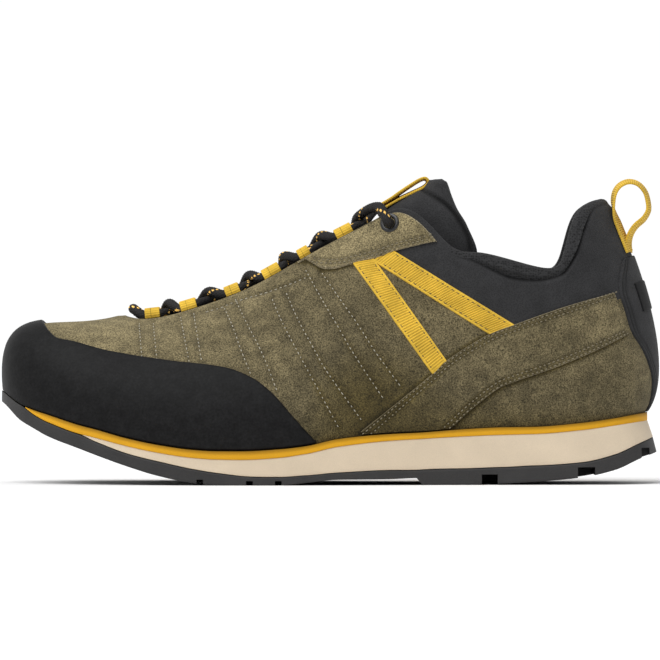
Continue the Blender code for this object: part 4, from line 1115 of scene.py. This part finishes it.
def soleLayer(name, upperFace, lowerFace, topOutline, bottomOutline, material, bevel, start=-1.0,
              extra=()):
    # Lofted layer with rounded edges
    look = soleLook
    turns = np.linspace(look["firstTurn"], math.pi - look["lastTurn"], look["sections"])
    shares = np.sort(np.concatenate([(1 - np.cos(turns)) / 2, np.asarray(extra, dtype=float)]))
    topX, topOuter, topInner = outlineAt(topOutline, shares, start)
    lowX, lowOuter, lowInner = outlineAt(bottomOutline, shares, start)
    topZ, lowZ = upperFace(topX), lowerFace(lowX)
    rings = []
    corner = np.linspace(0, math.pi / 2, look["cornerRows"])
    sides = np.linspace(*look["sideSpan"], look["sideRows"])
    for i in range(len(shares)):
        height = topZ[i] - lowZ[i]
        r = min(bevel, height * look["mostBevelUp"],
                (topInner[i] - topOuter[i]) * look["mostBevelIn"])
        into = np.concatenate([r * (1 - np.sin(corner)), 0 * sides, r * (1 - np.sin(corner[::-1]))])
        drop = r * (1 - np.cos(corner))
        down = np.concatenate([drop, sides * height, height - drop[::-1]])
        share = down / height
        x, z = topX[i] + (lowX[i] - topX[i]) * share, topZ[i] - down
        outer = topOuter[i] + (lowOuter[i] - topOuter[i]) * share + into
        inner = topInner[i] + (lowInner[i] - topInner[i]) * share - into
        rings.append(np.concatenate([np.stack([x, outer, z], axis=1)[::-1],
                                     np.stack([x, inner, z], axis=1)]))
    return ringPiece(name, rings, [material], angle=50)


def layerBottom(x):
    return soleTop(x) - soleSkirt(x)


def foamBottom(x):
    return layerBottom(x) - soleFoam(x)


# Painted shade of the yellow layer, from its upper edge to its lower: darkest under the overhang of
# the upper, lightest a little below its middle
yellowShade = easyCurve([(0.0, 0.42), (0.25, 0.72), (0.6, 1.1), (1.0, 1.04)])


def makeYellowLayer():
    edge = soleOutline(*soleLook["yellow"])
    piece = soleLayer("yellow_layer", soleTop, layerBottom, edge, edge, yellowRubber,
                      soleLook["yellowBevel"], start=xAt(soleLook["yellowStart"]))
    # Painted shade, darkest at the upper edge under the upper's overhang
    places = vertexPlaces(piece)
    x, z = places[:, 0], places[:, 2]
    storeShade(piece, "edge", yellowShade((soleTop(x) - z) / np.maximum(soleSkirt(x), 1e-5)))
    return finishPiece(piece, "sole_yellow", "midsole_top_layer")


def makeFoam():
    piece = soleLayer("foam_layer", layerBottom, foamBottom, soleOutline(*soleLook["foamTop"]),
                      soleOutline(*soleLook["foamFoot"]), foam, soleLook["foamBevel"],
                      start=xAt(soleLook["foamStart"]))
    return finishPiece(piece, "sole_foam", "midsole")


# Grooves of the tread: heel ones by start, end and depth, forefoot ones by place and reach,
# channels by start, end and how far they lie from the middle
treadLook = {
    "heel": [(0.727, 0.751, 0.160), (0.871, 0.897, 0.155), (0.968, 0.981, 0.140)],
    "forefoot": [(0.105, 0.42), (0.160, 0.60), (0.215, 0.66), (0.306, 1.2), (0.380, 1.2),
                 (0.423, 1.2)],
    "channels": [(0.130, 0.440, -0.30), (0.130, 0.440, 0.34), (0.655, 0.940, 0.0)],
    "width": 0.0030, "depth": 0.0020, "channelWidth": 0.0040,
    "heelMiddle": (-0.013, 0.013), "forefootMiddle": (-0.009, 0.011),    # left uncut
    "breast": (0.6350, 0.6380),
}


def grooveCutters(name, start, end, roof, reach, middle):
    # A box on each side of the tread's uncut middle
    low = -2 * shoe["halfWidth"]
    cutters = []
    for hand, (y, farY) in enumerate(((-reach, middle[0]), (middle[1], reach))):
        section = [(y, roof), (farY, roof), (farY, low), (y, low)]
        rings = [[(x, *corner) for corner in section] for x in (start, end)]
        cutters.append(ringPiece(f"{name}_{hand}", rings, [treadRubber], angle=10))
    return cutters


def channelCutter(name, start, end, place):
    x = np.linspace(xAt(start), xAt(end), 60)
    roof = soleLift(x) + treadLook["depth"]
    left = np.full_like(x, place * shoe["halfWidth"] - treadLook["channelWidth"] / 2)
    right = left + treadLook["channelWidth"]
    floor = np.full_like(x, -2 * shoe["halfWidth"])
    corners = ((x, left, roof), (x, right, roof), (x, right, floor), (x, left, floor))
    rings = np.stack([np.stack(corner, axis=1) for corner in corners], axis=1)
    return ringPiece(name, rings, [treadRubber], angle=10)


def treadCutters():
    look, half = treadLook, shoe["halfWidth"]
    cutters = []
    for i, (start, end, depth) in enumerate(look["heel"]):
        roof = float(soleLift(xAt((start + end) / 2))) + depth * shoe["heelStack"]
        cutters += grooveCutters(f"heel_groove_{i}", xAt(start), xAt(end), roof, 2 * half,
                                 look["heelMiddle"])
    for i, (along, reach) in enumerate(look["forefoot"]):
        roof = float(soleLift(xAt(along))) + look["depth"]
        wide = look["width"] / 2
        cutters += grooveCutters(f"forefoot_groove_{i}", xAt(along) - wide, xAt(along) + wide,
                                 roof, reach * half, look["forefootMiddle"])
    for i, channel in enumerate(look["channels"]):
        cutters.append(channelCutter(f"channel_{i}", *channel))
    return cutters


def makeTread():
    top, foot = soleOutline(*soleLook["treadTop"]), soleOutline(*soleLook["treadFoot"])
    span = top[0][-1, 0] - top[0][0, 0]
    breast = [(xAt(along) - top[0][0, 0]) / span for along in treadLook["breast"]]
    tread = soleLayer("tread", lambda x: foamBottom(x) - shoe["gap"], soleLift, top, foot,
                      treadRubber, soleLook["treadBevel"], extra=breast)
    cutters = treadCutters()
    for cutter in cutters:
        modifier = tread.modifiers.new(cutter.name, "BOOLEAN")
        modifier.object = cutter
        modifier.operation = "DIFFERENCE"
        modifier.solver = "MANIFOLD"
    plainMesh(tread)
    for cutter in cutters:
        bpy.data.objects.remove(cutter, do_unlink=True)
    tread.data.shade_smooth()
    tread.data.set_sharp_from_angle(angle=math.radians(50))
    return finishPiece(tread, "sole_rubber", "outsole")


def makeFootbed():
    inset = -shoe["wall"] - soleLook["footbedGap"]
    edge = soleOutline(inset, inset)
    piece = soleLayer("footbed", lambda x: soleTop(x) + shoe["gap"] + soleLook["footbed"],
                      lambda x: soleTop(x) + shoe["gap"], edge, edge, liningCloth,
                      soleLook["footbedBevel"])
    return finishPiece(piece, "lining", "insole")


def edgeFrame(along, side, step=0.004):
    # A place on the topline, with the ways ahead along it and up from it in side view
    u = float(toplineU(along, side))
    ahead = upperPoint(u - side * step, 1.0) - upperPoint(u + side * step, 1.0)
    ahead[1] = 0
    ahead /= np.linalg.norm(ahead)
    up = np.array([-ahead[2], 0, ahead[0]])
    return upperPoint(u, 1.0) + up * shoe["wall"] / 2, ahead, up


laceLook = {"diameter": 0.0046, "slack": 0.0002, "low": 0.0004, "high": 0.0043, "bar": 0.200,
            "around": 40, "step": 0.00034, "braid": 0.00042, "pitch": 0.0019, "carriers": 5,
            "valleyShade": 0.35, "crestShade": 0.95, "fleckEvery": 10, "cellNudge": 0.02,
            "barReach": 1.6, "pastLoop": 0.3, "lastCrossing": 0.012, "atRim": 0.010,
            "overEyelet": 2.5}
loopLook = {"width": 0.0068, "thickness": 0.0007, "lift": 0.0006, "around": 72, "ribs": 18,
            "ribHeight": 0.00010, "border": 0.0004, "cell": 0.0007, "borderLevel": 0.45,
            "toneAndShade": 1.12, "stitchAt": 0.41, "stitchHalf": 0.035, "stitchShade": 0.3}
loopRadius = laceLook["diameter"] / 2 + laceLook["slack"] + loopLook["thickness"]


def laceSeat(along, side):
    point, ahead, up = edgeFrame(along, side)
    inward = np.array([0, -side * (loopRadius + shoe["wall"] / 2 + shoe["gap"]), 0])
    return point + inward + up * loopLook["lift"], ahead, up


def eyeletFrame(side):
    u = float(toplineU(eyeletPlace[0], side))
    level = eyeletPlace[1] * shoe["heelHeight"]
    v = float(crossingV([u], lambda x: np.full_like(x, level), 0.5, 0.98)[0])
    return upperPoint(u, v), upperNormal(u, v)


def makeLoop(along, share, side, label):
    # Webbing folded round the lace, ribbed across its width
    look = loopLook
    centre, ahead, up = laceSeat(along, side)
    across = np.array([0, 1.0, 0])
    half = look["width"] * share / 2
    stitch = [look["stitchAt"] + step for step in (-look["stitchHalf"], 0, look["stitchHalf"])]
    shares = np.sort(np.append(edgeShares(half * 2, look["border"], look["cell"]), stitch))
    border = roundedBy(np.minimum(shares, 1 - shares) * 2 * half, look["border"])
    inner = loopRadius - look["thickness"]
    flat = inner + look["thickness"] * (look["borderLevel"] + (1 - look["borderLevel"]) * border)
    place = ahead * ((shares - 0.5) * 2 * half)[:, None]
    turns = 2 * math.pi * np.arange(look["around"]) / look["around"]
    waves = np.cos(turns * look["ribs"])
    rings = []
    for turn, wave in zip(turns, waves):
        out = across * math.cos(turn) + up * math.sin(turn)
        level = flat + look["ribHeight"] * wave * border
        high = centre + out * level[:, None] + place
        rings.append(np.concatenate([high[::-1], centre + out * inner + place]))
    piece = ringPiece(f"loop_webbing_{label}", rings, [webbing], closed=True)
    # A dark stitch line across the webbing, and painted shade between its ribs
    lines = np.where(shares == look["stitchAt"], look["stitchShade"], 1.0)
    lines = np.concatenate([lines[::-1], lines])
    storeShade(piece, "rib", ribShade(waves)[:, None] * look["toneAndShade"] * lines[None, :])
    return finishPiece(piece, "webbing", f"lace_loop_{label}")


def turnedRings(origin, axis, profile, turns):
    # A profile of radius and height, turned round an axis
    axis = Vector(axis).normalized()
    side = np.array(axis.orthogonal().normalized())
    other = np.cross(np.array(axis), side)
    rings = []
    for k in range(turns):
        turn = 2 * math.pi * k / turns
        out = side * math.cos(turn) + other * math.sin(turn)
        rings.append([origin + out * r + np.array(axis) * h for r, h in profile])
    return np.array(rings)


eyeletLook = {"hole": 0.0025, "barrel": 0.0031, "outer": 0.0045, "beadWidth": 0.0009,
              "beadHeight": 0.0007, "lip": 0.0005, "under": 0.0002, "turns": 48}


def makeEyelet(side, label):
    look = eyeletLook
    origin, normal = eyeletFrame(side)
    hole, outer, lip, under = [look[key] for key in ("hole", "outer", "lip", "under")]
    seat = shoe["overlayGap"] + shoe["overlay"] + shoe["gap"]
    bead = [(outer - look["beadWidth"] + look["beadWidth"] * math.cos(a),
             seat + look["beadHeight"] * math.sin(a)) for a in np.linspace(0, math.pi / 2, 6)]
    rolled = [(hole + lip - lip * math.sin(a), seat + under + lip * math.cos(a))
              for a in np.linspace(0, math.pi / 2, 5)]
    profile = [(hole, -shoe["wall"]), (look["barrel"], -shoe["wall"]),
               (look["barrel"], seat - under), (outer, seat - under)] + bead + rolled
    rings = turnedRings(origin, normal, profile, look["turns"])
    piece = ringPiece(f"eyelet_ring_{label}", rings, [eyeletMetal], closed=True)
    return finishPiece(piece, "eyelet_black", f"eyelet_{label}")


# Rows of the tongue's free top: its ridge and its sides in side view, and its half width
tongueTop = [(0.585, 0.957, 0.717, 0.790, 0.42), (0.614, 0.997, 0.705, 0.895, 0.42),
             (0.640, 1.031, 0.688, 0.960, 0.40), (0.651, 1.060, 0.670, 1.045, 0.37)]
# Seam between the tongue's face and its rolled top, in photograph pixels
tongueSeam = [(422.5, 190), (433, 197.5), (443, 204.5), (452, 213), (460, 225), (467, 239),
              (470.5, 254)]
tongueLook = {"front": 0.202, "back": 0.560, "rows": 11, "wing": 0.05, "wingGrowth": 0.07,
              "sink": 0.0028, "thickness": 0.0042, "blunt": 0.55, "across": 90, "along": 210,
              "seamDepth": 0.0016, "seamWidth": 0.0010}


def tongueSections():
    # Cross sections of the tongue's upper face, as the throat shapes them
    look = tongueLook
    sections = []
    for share in np.linspace(0, 1, look["rows"]):
        along = look["front"] + (look["back"] - look["front"]) * share
        wing = look["wing"] + look["wingGrowth"] * share
        rows = []
        for side in (-1, 1):
            u = float(toplineU(along, side))
            v = np.array([1 - wing, 1 - wing / 2, 1.0])
            rows.append(upperPoint(u, v) - upperNormal(u, v) * (shoe["wall"] + 2 * shoe["gap"]))
        left, right = rows[0], rows[1][::-1]
        middle = (left[-1] + right[0]) / 2
        ridge = (edgeFrame(along, -1)[0] + edgeFrame(along, 1)[0]) / 2
        ridge -= edgeFrame(along, 1)[2] * look["sink"]
        control = 2 * ridge - middle
        arch = [(1 - t)**2 * left[-1] + 2 * t * (1 - t) * control + t**2 * right[0]
                for t in (0.25, 0.5, 0.75)]
        sections.append(np.vstack([left, arch, right]))
    for ridgeAlong, ridgeHeight, sideAlong, sideHeight, half in tongueTop:
        ridge = np.array([xAt(ridgeAlong), 0, ridgeHeight * shoe["heelHeight"]])
        fall = np.array([xAt(sideAlong), 0, sideHeight * shoe["heelHeight"]]) - ridge
        section = []
        for turn in np.linspace(-math.pi / 2, math.pi / 2, 9):
            section.append(ridge + fall * (1 - math.cos(turn))
                           + np.array([0, half * shoe["halfWidth"] * math.sin(turn), 0]))
        sections.append(np.array(section))
    return np.array(sections)


def gridNormals(grid, size=9):
    # Normals of a grid of points, averaged over their neighbours
    normal = np.cross(np.gradient(grid, axis=0), np.gradient(grid, axis=1))
    normal /= np.linalg.norm(normal, axis=-1, keepdims=True)
    for axis in (0, 1):
        reach = [(size // 2, size // 2) if k == axis else (0, 0) for k in range(3)]
        wide = np.pad(normal, reach, mode="edge")
        normal = np.apply_along_axis(smoothed, axis, wide, size)
    return normal / np.linalg.norm(normal, axis=-1, keepdims=True)


def makeTongue():
    look = tongueLook
    fine = np.array([evenPath(smoothPath(row, 12), look["across"]) for row in tongueSections()])
    grid = np.stack([evenPath(smoothPath(fine[:, k], 12), look["along"])
                     for k in range(fine.shape[1])], axis=1)
    normals = gridNormals(grid)
    border = borderDistance(grid)
    pad, blunt = look["thickness"] / 2, look["blunt"]
    flatter = blunt * (1 - roundedBy(border, pad * blunt))
    line = evenPath(smoothPath([(x, 0.0, z) for x, z in fromPhoto(tongueSeam)], 8), 120)
    sideView = (grid * np.array([1.0, 0.0, 1.0])).reshape(-1, 3)
    distance = rowDistance([line])(sideView).reshape(border.shape)
    sunk = troughs(distance, look["seamDepth"], look["seamWidth"])
    high = grid - normals * (pad * flatter - sunk)[..., None]
    low = grid - normals * (pad * (2 - flatter))[..., None]
    piece = ringPiece("tongue_padded", frontAndBack(high, low), [neoprene], angle=60)
    # Painted shade along the seam under the rolled top
    folded = 1 + seamLook["dark"] * sunk / look["seamDepth"]
    storeShade(piece, "seamShade", frontAndBack(folded, folded))
    return finishPiece(piece, "neoprene", "tongue")


def overTongue(along, height):
    # A place in the middle of the throat, at a height over it
    outer, ahead, up = edgeFrame(along, -1)
    return (outer + edgeFrame(along, 1)[0]) / 2 + up * height


def strandPath(firstSide):
    # One half of the lace, from the middle of its front bar into a top eyelet
    look = laceLook
    radius = look["diameter"] / 2
    middle = overTongue(look["bar"], radius + 2 * shoe["gap"])
    points = [middle + np.array([0, -firstSide * radius / 2, 0]),
              middle + np.array([0, firstSide * radius * look["barReach"], 0])]
    side = firstSide
    for i, (along, share) in enumerate(loops):
        centre, ahead, up = laceSeat(along, side)
        straight = ahead * (loopLook["width"] * share / 2 + radius * look["pastLoop"])
        points.extend([centre - straight, centre, centre + straight])
        following = eyeletPlace[0] - look["lastCrossing"]
        if i + 1 < len(loops):
            following = loops[i + 1][0]
        onTop = (i % 2 == 0) == (firstSide > 0)
        points.append(overTongue((along + following) / 2, look["high" if onTop else "low"]))
        side = -side
    origin, normal = eyeletFrame(side)
    rim, ahead, up = edgeFrame(eyeletPlace[0] - look["atRim"], side)
    points.append(rim + up * (radius + shoe["overlay"]))
    points.append(origin + normal * (radius + look["overEyelet"] * shoe["overlay"]))
    points.append(origin + normal * shoe["overlay"])
    points.append(origin - normal * shoe["wall"])
    return smoothPath(points, 8)


def makeStrand(firstSide, label):
    # Round cord whose braid is raised in small diamonds, a few of them yellow, with painted shade
    # between them
    look = laceLook
    path = strandPath(firstSide)
    length = pathLength(path)
    path = evenPath(path, int(length / look["step"]))
    tangent = pathTangents(path)
    across = np.cross(tangent[0], np.array([0, 0, 1.0]))
    turns = -np.arange(look["around"]) * 2 * math.pi / look["around"]
    walked = np.linspace(0, length, len(path))
    radius = look["diameter"] / 2 - look["braid"]
    rings, slots, shades = [], [], []
    for point, ahead, at in zip(path, tangent, walked):
        across = across - ahead * np.dot(across, ahead)
        across /= np.linalg.norm(across)
        other = np.cross(ahead, across)
        first = (look["carriers"] * turns + math.pi * at / look["pitch"]) / math.pi
        second = (look["carriers"] * turns - math.pi * at / look["pitch"]) / math.pi
        bump = np.sqrt(np.abs(np.sin(math.pi * first) * np.sin(math.pi * second)))
        # Painted shade in the braid's valleys
        shades.append(look["valleyShade"] + look["crestShade"] * bump)
        level = radius + look["braid"] * bump
        rings.append(point + (np.cos(turns)[:, None] * across
                              + np.sin(turns)[:, None] * other) * level[:, None])
        a, b = [np.floor(cell + look["cellNudge"]) for cell in (first, second)]
        slots.append((np.mod(a, look["fleckEvery"]) == 1) & (np.mod(a + b, 2) == 0))
    ends = np.zeros(look["around"] - 2, dtype=int)
    slots = np.concatenate([np.array(slots[:-1]).ravel(), ends])
    piece = ringPiece(f"lace_strand_{label}", rings, [laceBlack, laceYellow], faceSlots=slots,
                      angle=80)
    storeShade(piece, "braid", shades)
    return piece


def makeLace():
    strands = [makeStrand(-1, "first"), makeStrand(1, "second")]
    finishPiece(strands[0], "lace_cord", "lace")
    finishPiece(strands[1], "lace_cord")


# Pull loops in side view, in photograph pixels
pullTables = {
    "tongue": [(377.4, 211.2), (388.5, 204.6), (399.6, 198.5), (412.6, 192.3), (423.7, 186.8),
               (427.8, 182.4), (425.4, 179), (420, 180.2), (410.5, 185.9), (400.6, 192.6),
               (393, 198.2), (384, 203.9), (376, 208.7)],
    "heel": [(629, 252), (624.6, 241), (619.4, 228), (614.6, 215), (612.8, 203), (614.6, 192.4),
             (620, 185.2), (628.8, 181.8), (638, 184.2), (645, 192), (648, 202), (648.3, 210.5),
             (643.8, 218.8), (635.8, 226), (630.8, 233.4), (628.4, 242), (628.6, 253)],
}
# How far the webbing turns its flat side to the outer side, along its length
pullTwist = {"tongue": [(0, 0.10), (0.5, 0.06), (1, 0.12)],
             "heel": [(0, -0.30), (0.18, -0.28), (0.32, 0.08), (0.45, 0.16), (0.75, 0.2), (1, 0.3)]}
# How far it lies from the shoe's middle plane, along its length
pullAside = {"tongue": [(0, 0.0), (1, 0.0)],
             "heel": [(0, -0.0050), (0.2, -0.0048), (0.45, -0.0020), (1, -0.0010)]}


pullLook = {"width": 0.0100, "thickness": 0.0012, "step": 0.00018, "border": 0.0007,
            "cell": 0.0010, "edge": 0.0006, "borderLevel": 0.25, "plain": 0.0009,
            "blend": 0.0005, "pitch": 0.0010, "ribHeight": 0.00013}


def makePull(name):
    # Ribbed webbing swept along a side view path
    look = pullLook
    path = smoothPath([(x, 0.0, z) for x, z in fromPhoto(pullTables[name])], 16)
    length = pathLength(path)
    path = evenPath(path, int(length / look["step"]))
    tangent = pathTangents(path)
    normal = np.stack([-tangent[:, 2], np.zeros(len(path)), tangent[:, 0]], axis=1)
    walked = np.linspace(0, length, len(path))
    path[:, 1] = easyCurve(pullAside[name])(walked / length)
    twist = easyCurve(pullTwist[name])(walked / length)[:, None]
    sideways = np.array([0, 1.0, 0])
    across = sideways * np.cos(twist) + normal * np.sin(twist)
    out = normal * np.cos(twist) - sideways * np.sin(twist)
    shares = edgeShares(look["width"], look["border"], look["cell"])
    border = np.minimum(shares, 1 - shares) * look["width"]
    rounding = look["borderLevel"] + (1 - look["borderLevel"]) * roundedBy(border, look["edge"])
    inside = np.clip((border - look["plain"]) / look["blend"], 0, 1)
    wave = np.cos(2 * math.pi * walked / look["pitch"])
    level = look["thickness"] / 2 * rounding + look["ribHeight"] * wave[:, None] * inside
    place = path[:, None] + across[:, None] * ((shares - 0.5) * look["width"])[:, None]
    lifted = out[:, None] * level[..., None]
    rings = frontAndBack(place + lifted, place - lifted)
    piece = ringPiece(f"{name}_pull_webbing", rings, [webbing])
    # Painted shade between the ribs
    storeShade(piece, "rib", np.repeat(ribShade(wave), rings.shape[1]))
    return finishPiece(piece, "webbing", f"{name}_pull_loop")


# One thread: facets of its ball, shortest and longest share of its length, and how flat it is
threadLook = {"segments": 8, "rings": 5, "shortest": 0.6, "longest": 1.15, "flat": 0.8,
              "seed": 5}
stitchLook = {
    "vamp": {"length": 0.0014, "pitch": 0.00235, "thickness": 0.00046},
    "overlays": {"length": 0.0013, "pitch": 0.0021, "thickness": 0.00062},
    "straps": {"length": 0.0017, "pitch": 0.0027, "thickness": 0.00042},
    "vampLift": (0.00024, 0.00006),     # the thread sinks into the nap towards its row's end
    "strapSink": 0.0001, "strapEnds": (20, -12),
}


def stitchTree():
    # Instances a small rounded thread on every point, turned along its row
    look = threadLook
    tree = bpy.data.node_groups.new("stitches", "GeometryNodeTree")
    tree.interface.new_socket("Geometry", in_out="INPUT", socket_type="NodeSocketGeometry")
    for name, kind, value in (("Length", "NodeSocketFloat", stitchLook["vamp"]["length"]),
                              ("Thickness", "NodeSocketFloat", stitchLook["vamp"]["thickness"]),
                              ("Seed", "NodeSocketInt", look["seed"])):
        socket = tree.interface.new_socket(name, in_out="INPUT", socket_type=kind)
        socket.default_value = value
    tree.interface.new_socket("Material", in_out="INPUT", socket_type="NodeSocketMaterial")
    tree.interface.new_socket("Geometry", in_out="OUTPUT", socket_type="NodeSocketGeometry")
    given = addNode(tree, "NodeGroupInput")
    ball = addNode(tree, "GeometryNodeMeshUVSphere",
                   {"Segments": look["segments"], "Rings": look["rings"], "Radius": 0.5})
    ahead, facing = [addNode(tree, "GeometryNodeInputNamedAttribute", {"Name": name},
                             data_type="FLOAT_VECTOR").outputs["Attribute"]
                     for name in ("ahead", "facing")]
    along = addNode(tree, "FunctionNodeAlignRotationToVector", {"Vector": ahead}, axis="X")
    turned = addNode(tree, "FunctionNodeAlignRotationToVector",
                     {"Rotation": along.outputs[0], "Vector": facing}, axis="Z", pivot_axis="X")
    vary = addNode(tree, "FunctionNodeRandomValue", {2: look["shortest"], 3: look["longest"]},
                   data_type="FLOAT")
    tree.links.new(given.outputs["Seed"], vary.inputs["Seed"])
    length = addMath(tree, "MULTIPLY", given.outputs["Length"], vary.outputs[1])
    low = addMath(tree, "MULTIPLY", given.outputs["Thickness"], look["flat"])
    size = addNode(tree, "ShaderNodeCombineXYZ", {"X": length, "Y": given.outputs["Thickness"],
                                                  "Z": low})
    placed = addNode(tree, "GeometryNodeInstanceOnPoints",
                     {"Points": given.outputs["Geometry"], "Instance": ball.outputs["Mesh"],
                      "Rotation": turned.outputs[0], "Scale": size.outputs[0]})
    real = addNode(tree, "GeometryNodeRealizeInstances", {"Geometry": placed.outputs[0]})
    smooth = addNode(tree, "GeometryNodeSetShadeSmooth", {"Geometry": real.outputs[0]})
    painted = addNode(tree, "GeometryNodeSetMaterial",
                      {"Geometry": smooth.outputs[0], "Material": given.outputs["Material"]})
    addNode(tree, "NodeGroupOutput", {"Geometry": painted.outputs[0]})
    return tree


stitchNodes = stitchTree()


def makeStitches(name, rows, size, material):
    # rows: lines of points with their normals, at the height the thread lies
    places, aheads, facings = [], [], []
    for points, normals in rows:
        total = pathLength(points)
        count = max(int(total / size["pitch"]), 1)
        at = (np.arange(count) + 0.5) * total / count
        walked = walkedAlong(points)
        places.append(valuesAt(at, walked, points))
        aheads.append(valuesAt(at, walked, np.gradient(points, axis=0)))
        facings.append(valuesAt(at, walked, normals))
    mesh = bpy.data.meshes.new(name)
    mesh.from_pydata(np.concatenate(places).tolist(), [], [])
    for key, values in (("ahead", aheads), ("facing", facings)):
        layer = mesh.attributes.new(key, "FLOAT_VECTOR", "POINT")
        flat = np.concatenate(values)
        flat = flat / np.linalg.norm(flat, axis=1, keepdims=True)
        layer.data.foreach_set("vector", flat.astype(np.float32).ravel())
    piece = bpy.data.objects.new(name, mesh)
    bpy.context.scene.collection.objects.link(piece)
    modifier = piece.modifiers.new("stitches", "NODES")
    modifier.node_group = stitchNodes
    values = {"Length": size["length"], "Thickness": size["thickness"],
              "Seed": threadLook["seed"], "Material": material}
    for item in stitchNodes.interface.items_tree:
        if item.in_out == "INPUT" and item.name in values:
            modifier[item.identifier] = values[item.name]
    plainMesh(piece)
    return finishPiece(piece, None)


def makeAllStitches():
    look = stitchLook
    rows = []
    vampPoints = [line[2] for line in vampLines]
    for u, v, points in vampLines:
        lift = upperRelief(points, vampPoints) + np.linspace(*look["vampLift"], len(u))
        rows.append(rowsAt(u, v, lift[:, None]))
    makeStitches("stitches_vamp", rows, look["vamp"], thread)
    rows = []
    for side in (-1, 1):
        for overlay in (bandLook, eyestayLook):
            for row in overlay["rows"]:
                u, v, points = rowOnUpper(row, side)
                rows.append(rowsAt(u, v, overlay["lift"] - overlay["threadSink"]))
    makeStitches("stitches_overlays", rows, look["overlays"], threadOlive)
    rows = []
    first, last = look["strapEnds"]
    lift = shoe["overlayGap"] + strapLook["thickness"] - look["strapSink"]
    for u, v, points in strapLines.values():
        walked = walkedAlong(points[len(u) // 2])
        for place in (strapLook["stitchIn"], walked[-1] - strapLook["stitchIn"]):
            column = int(np.argmin(np.abs(walked - place)))
            rows.append(rowsAt(u[first:last, column], v[first:last, column], lift))
    makeStitches("stitches_straps", rows, look["straps"], threadDark)


makeUpper([line[2] for line in vampLines])
print("upper made")
makeRand()
makeBackstay()
makePatch()
for side, label in ((-1, "lateral"), (1, "medial")):
    makeEyestay(side, label)
    makeBand(side, label)
    makeStrap("steep", side, label)
    makeStrap("shallow", side, label)
    makeEyelet(side, label)
    for i, (along, share) in enumerate(loops):
        makeLoop(along, share, side, f"{label}_{i + 1}")
makeAllStitches()
print("overlays made")
makeYellowLayer()
makeFoam()
makeTread()
makeFootbed()
print("sole made")
makeTongue()
makeLace()
makePull("tongue")
makePull("heel")
print("tongue, lace and pulls made")


stageLook = {"floor": (0.9, 0.9, 0.9), "reach": 30, "back": 1.02, "front": 0.22, "top": 0.55,
             "acrossSpan": (-0.2, 0.6), "upSpan": (0.15, 0.8), "sun": 2.6, "sunSpread": 50,
             "sunFrom": (-0.35, -0.45, 0.85)}
cameraLook = {"lens": 360, "sensor": 36, "away": 3.0, "height": 0.0695}


def makeStage():
    # Pale floor under a soft sky, brightest behind the shoe
    look = stageLook
    pale = newMaterial("pale_floor", look["floor"], 1.0, {"Specular IOR Level": 0.0})[0]
    reach = look["reach"]
    corners = [(-reach, -reach, 0), (reach, -reach, 0), (reach, reach, 0), (-reach, reach, 0)]
    floor = newMesh("floor", corners, [(0, 1, 2, 3)], [pale])
    world = bpy.data.worlds.new("soft_sky")
    world.use_nodes = True
    tree = world.node_tree
    place = addNode(tree, "ShaderNodeTexCoord").outputs["Generated"]
    parts = addNode(tree, "ShaderNodeSeparateXYZ", {0: place})
    side = addRange(tree, parts.outputs["Y"], *look["acrossSpan"], look["front"], look["back"])
    high = addRange(tree, parts.outputs["Z"], *look["upSpan"], 0.0, 1.0)
    gap = addMath(tree, "SUBTRACT", look["top"], side)
    strength = addMath(tree, "ADD", side, addMath(tree, "MULTIPLY", gap, high))
    tree.nodes["Background"].inputs["Color"].default_value = (1, 1, 1, 1)
    tree.links.new(strength, tree.nodes["Background"].inputs["Strength"])
    bpy.context.scene.world = world
    sun = bpy.data.lights.new("soft_sun", "SUN")
    sun.energy = look["sun"]
    sun.angle = math.radians(look["sunSpread"])
    lamp = bpy.data.objects.new("soft_sun", sun)
    lamp.rotation_euler = Vector(look["sunFrom"]).to_track_quat("Z", "Y").to_euler()
    bpy.context.scene.collection.objects.link(lamp)


def makeCamera():
    # Square on to the outer side, from far away
    look = cameraLook
    camera = bpy.data.cameras.new("camera")
    camera.lens = look["lens"]
    camera.sensor_width = look["sensor"]
    camera.clip_start = 0.1
    camera.clip_end = 30
    piece = bpy.data.objects.new("camera", camera)
    piece.location = (0.0, -look["away"], look["height"])
    piece.rotation_euler = (math.radians(90), 0, 0)
    bpy.context.scene.collection.objects.link(piece)
    bpy.context.scene.camera = piece
    bpy.context.scene.view_settings.view_transform = "Standard"


makeStage()
makeCamera()
print("stage and camera set")
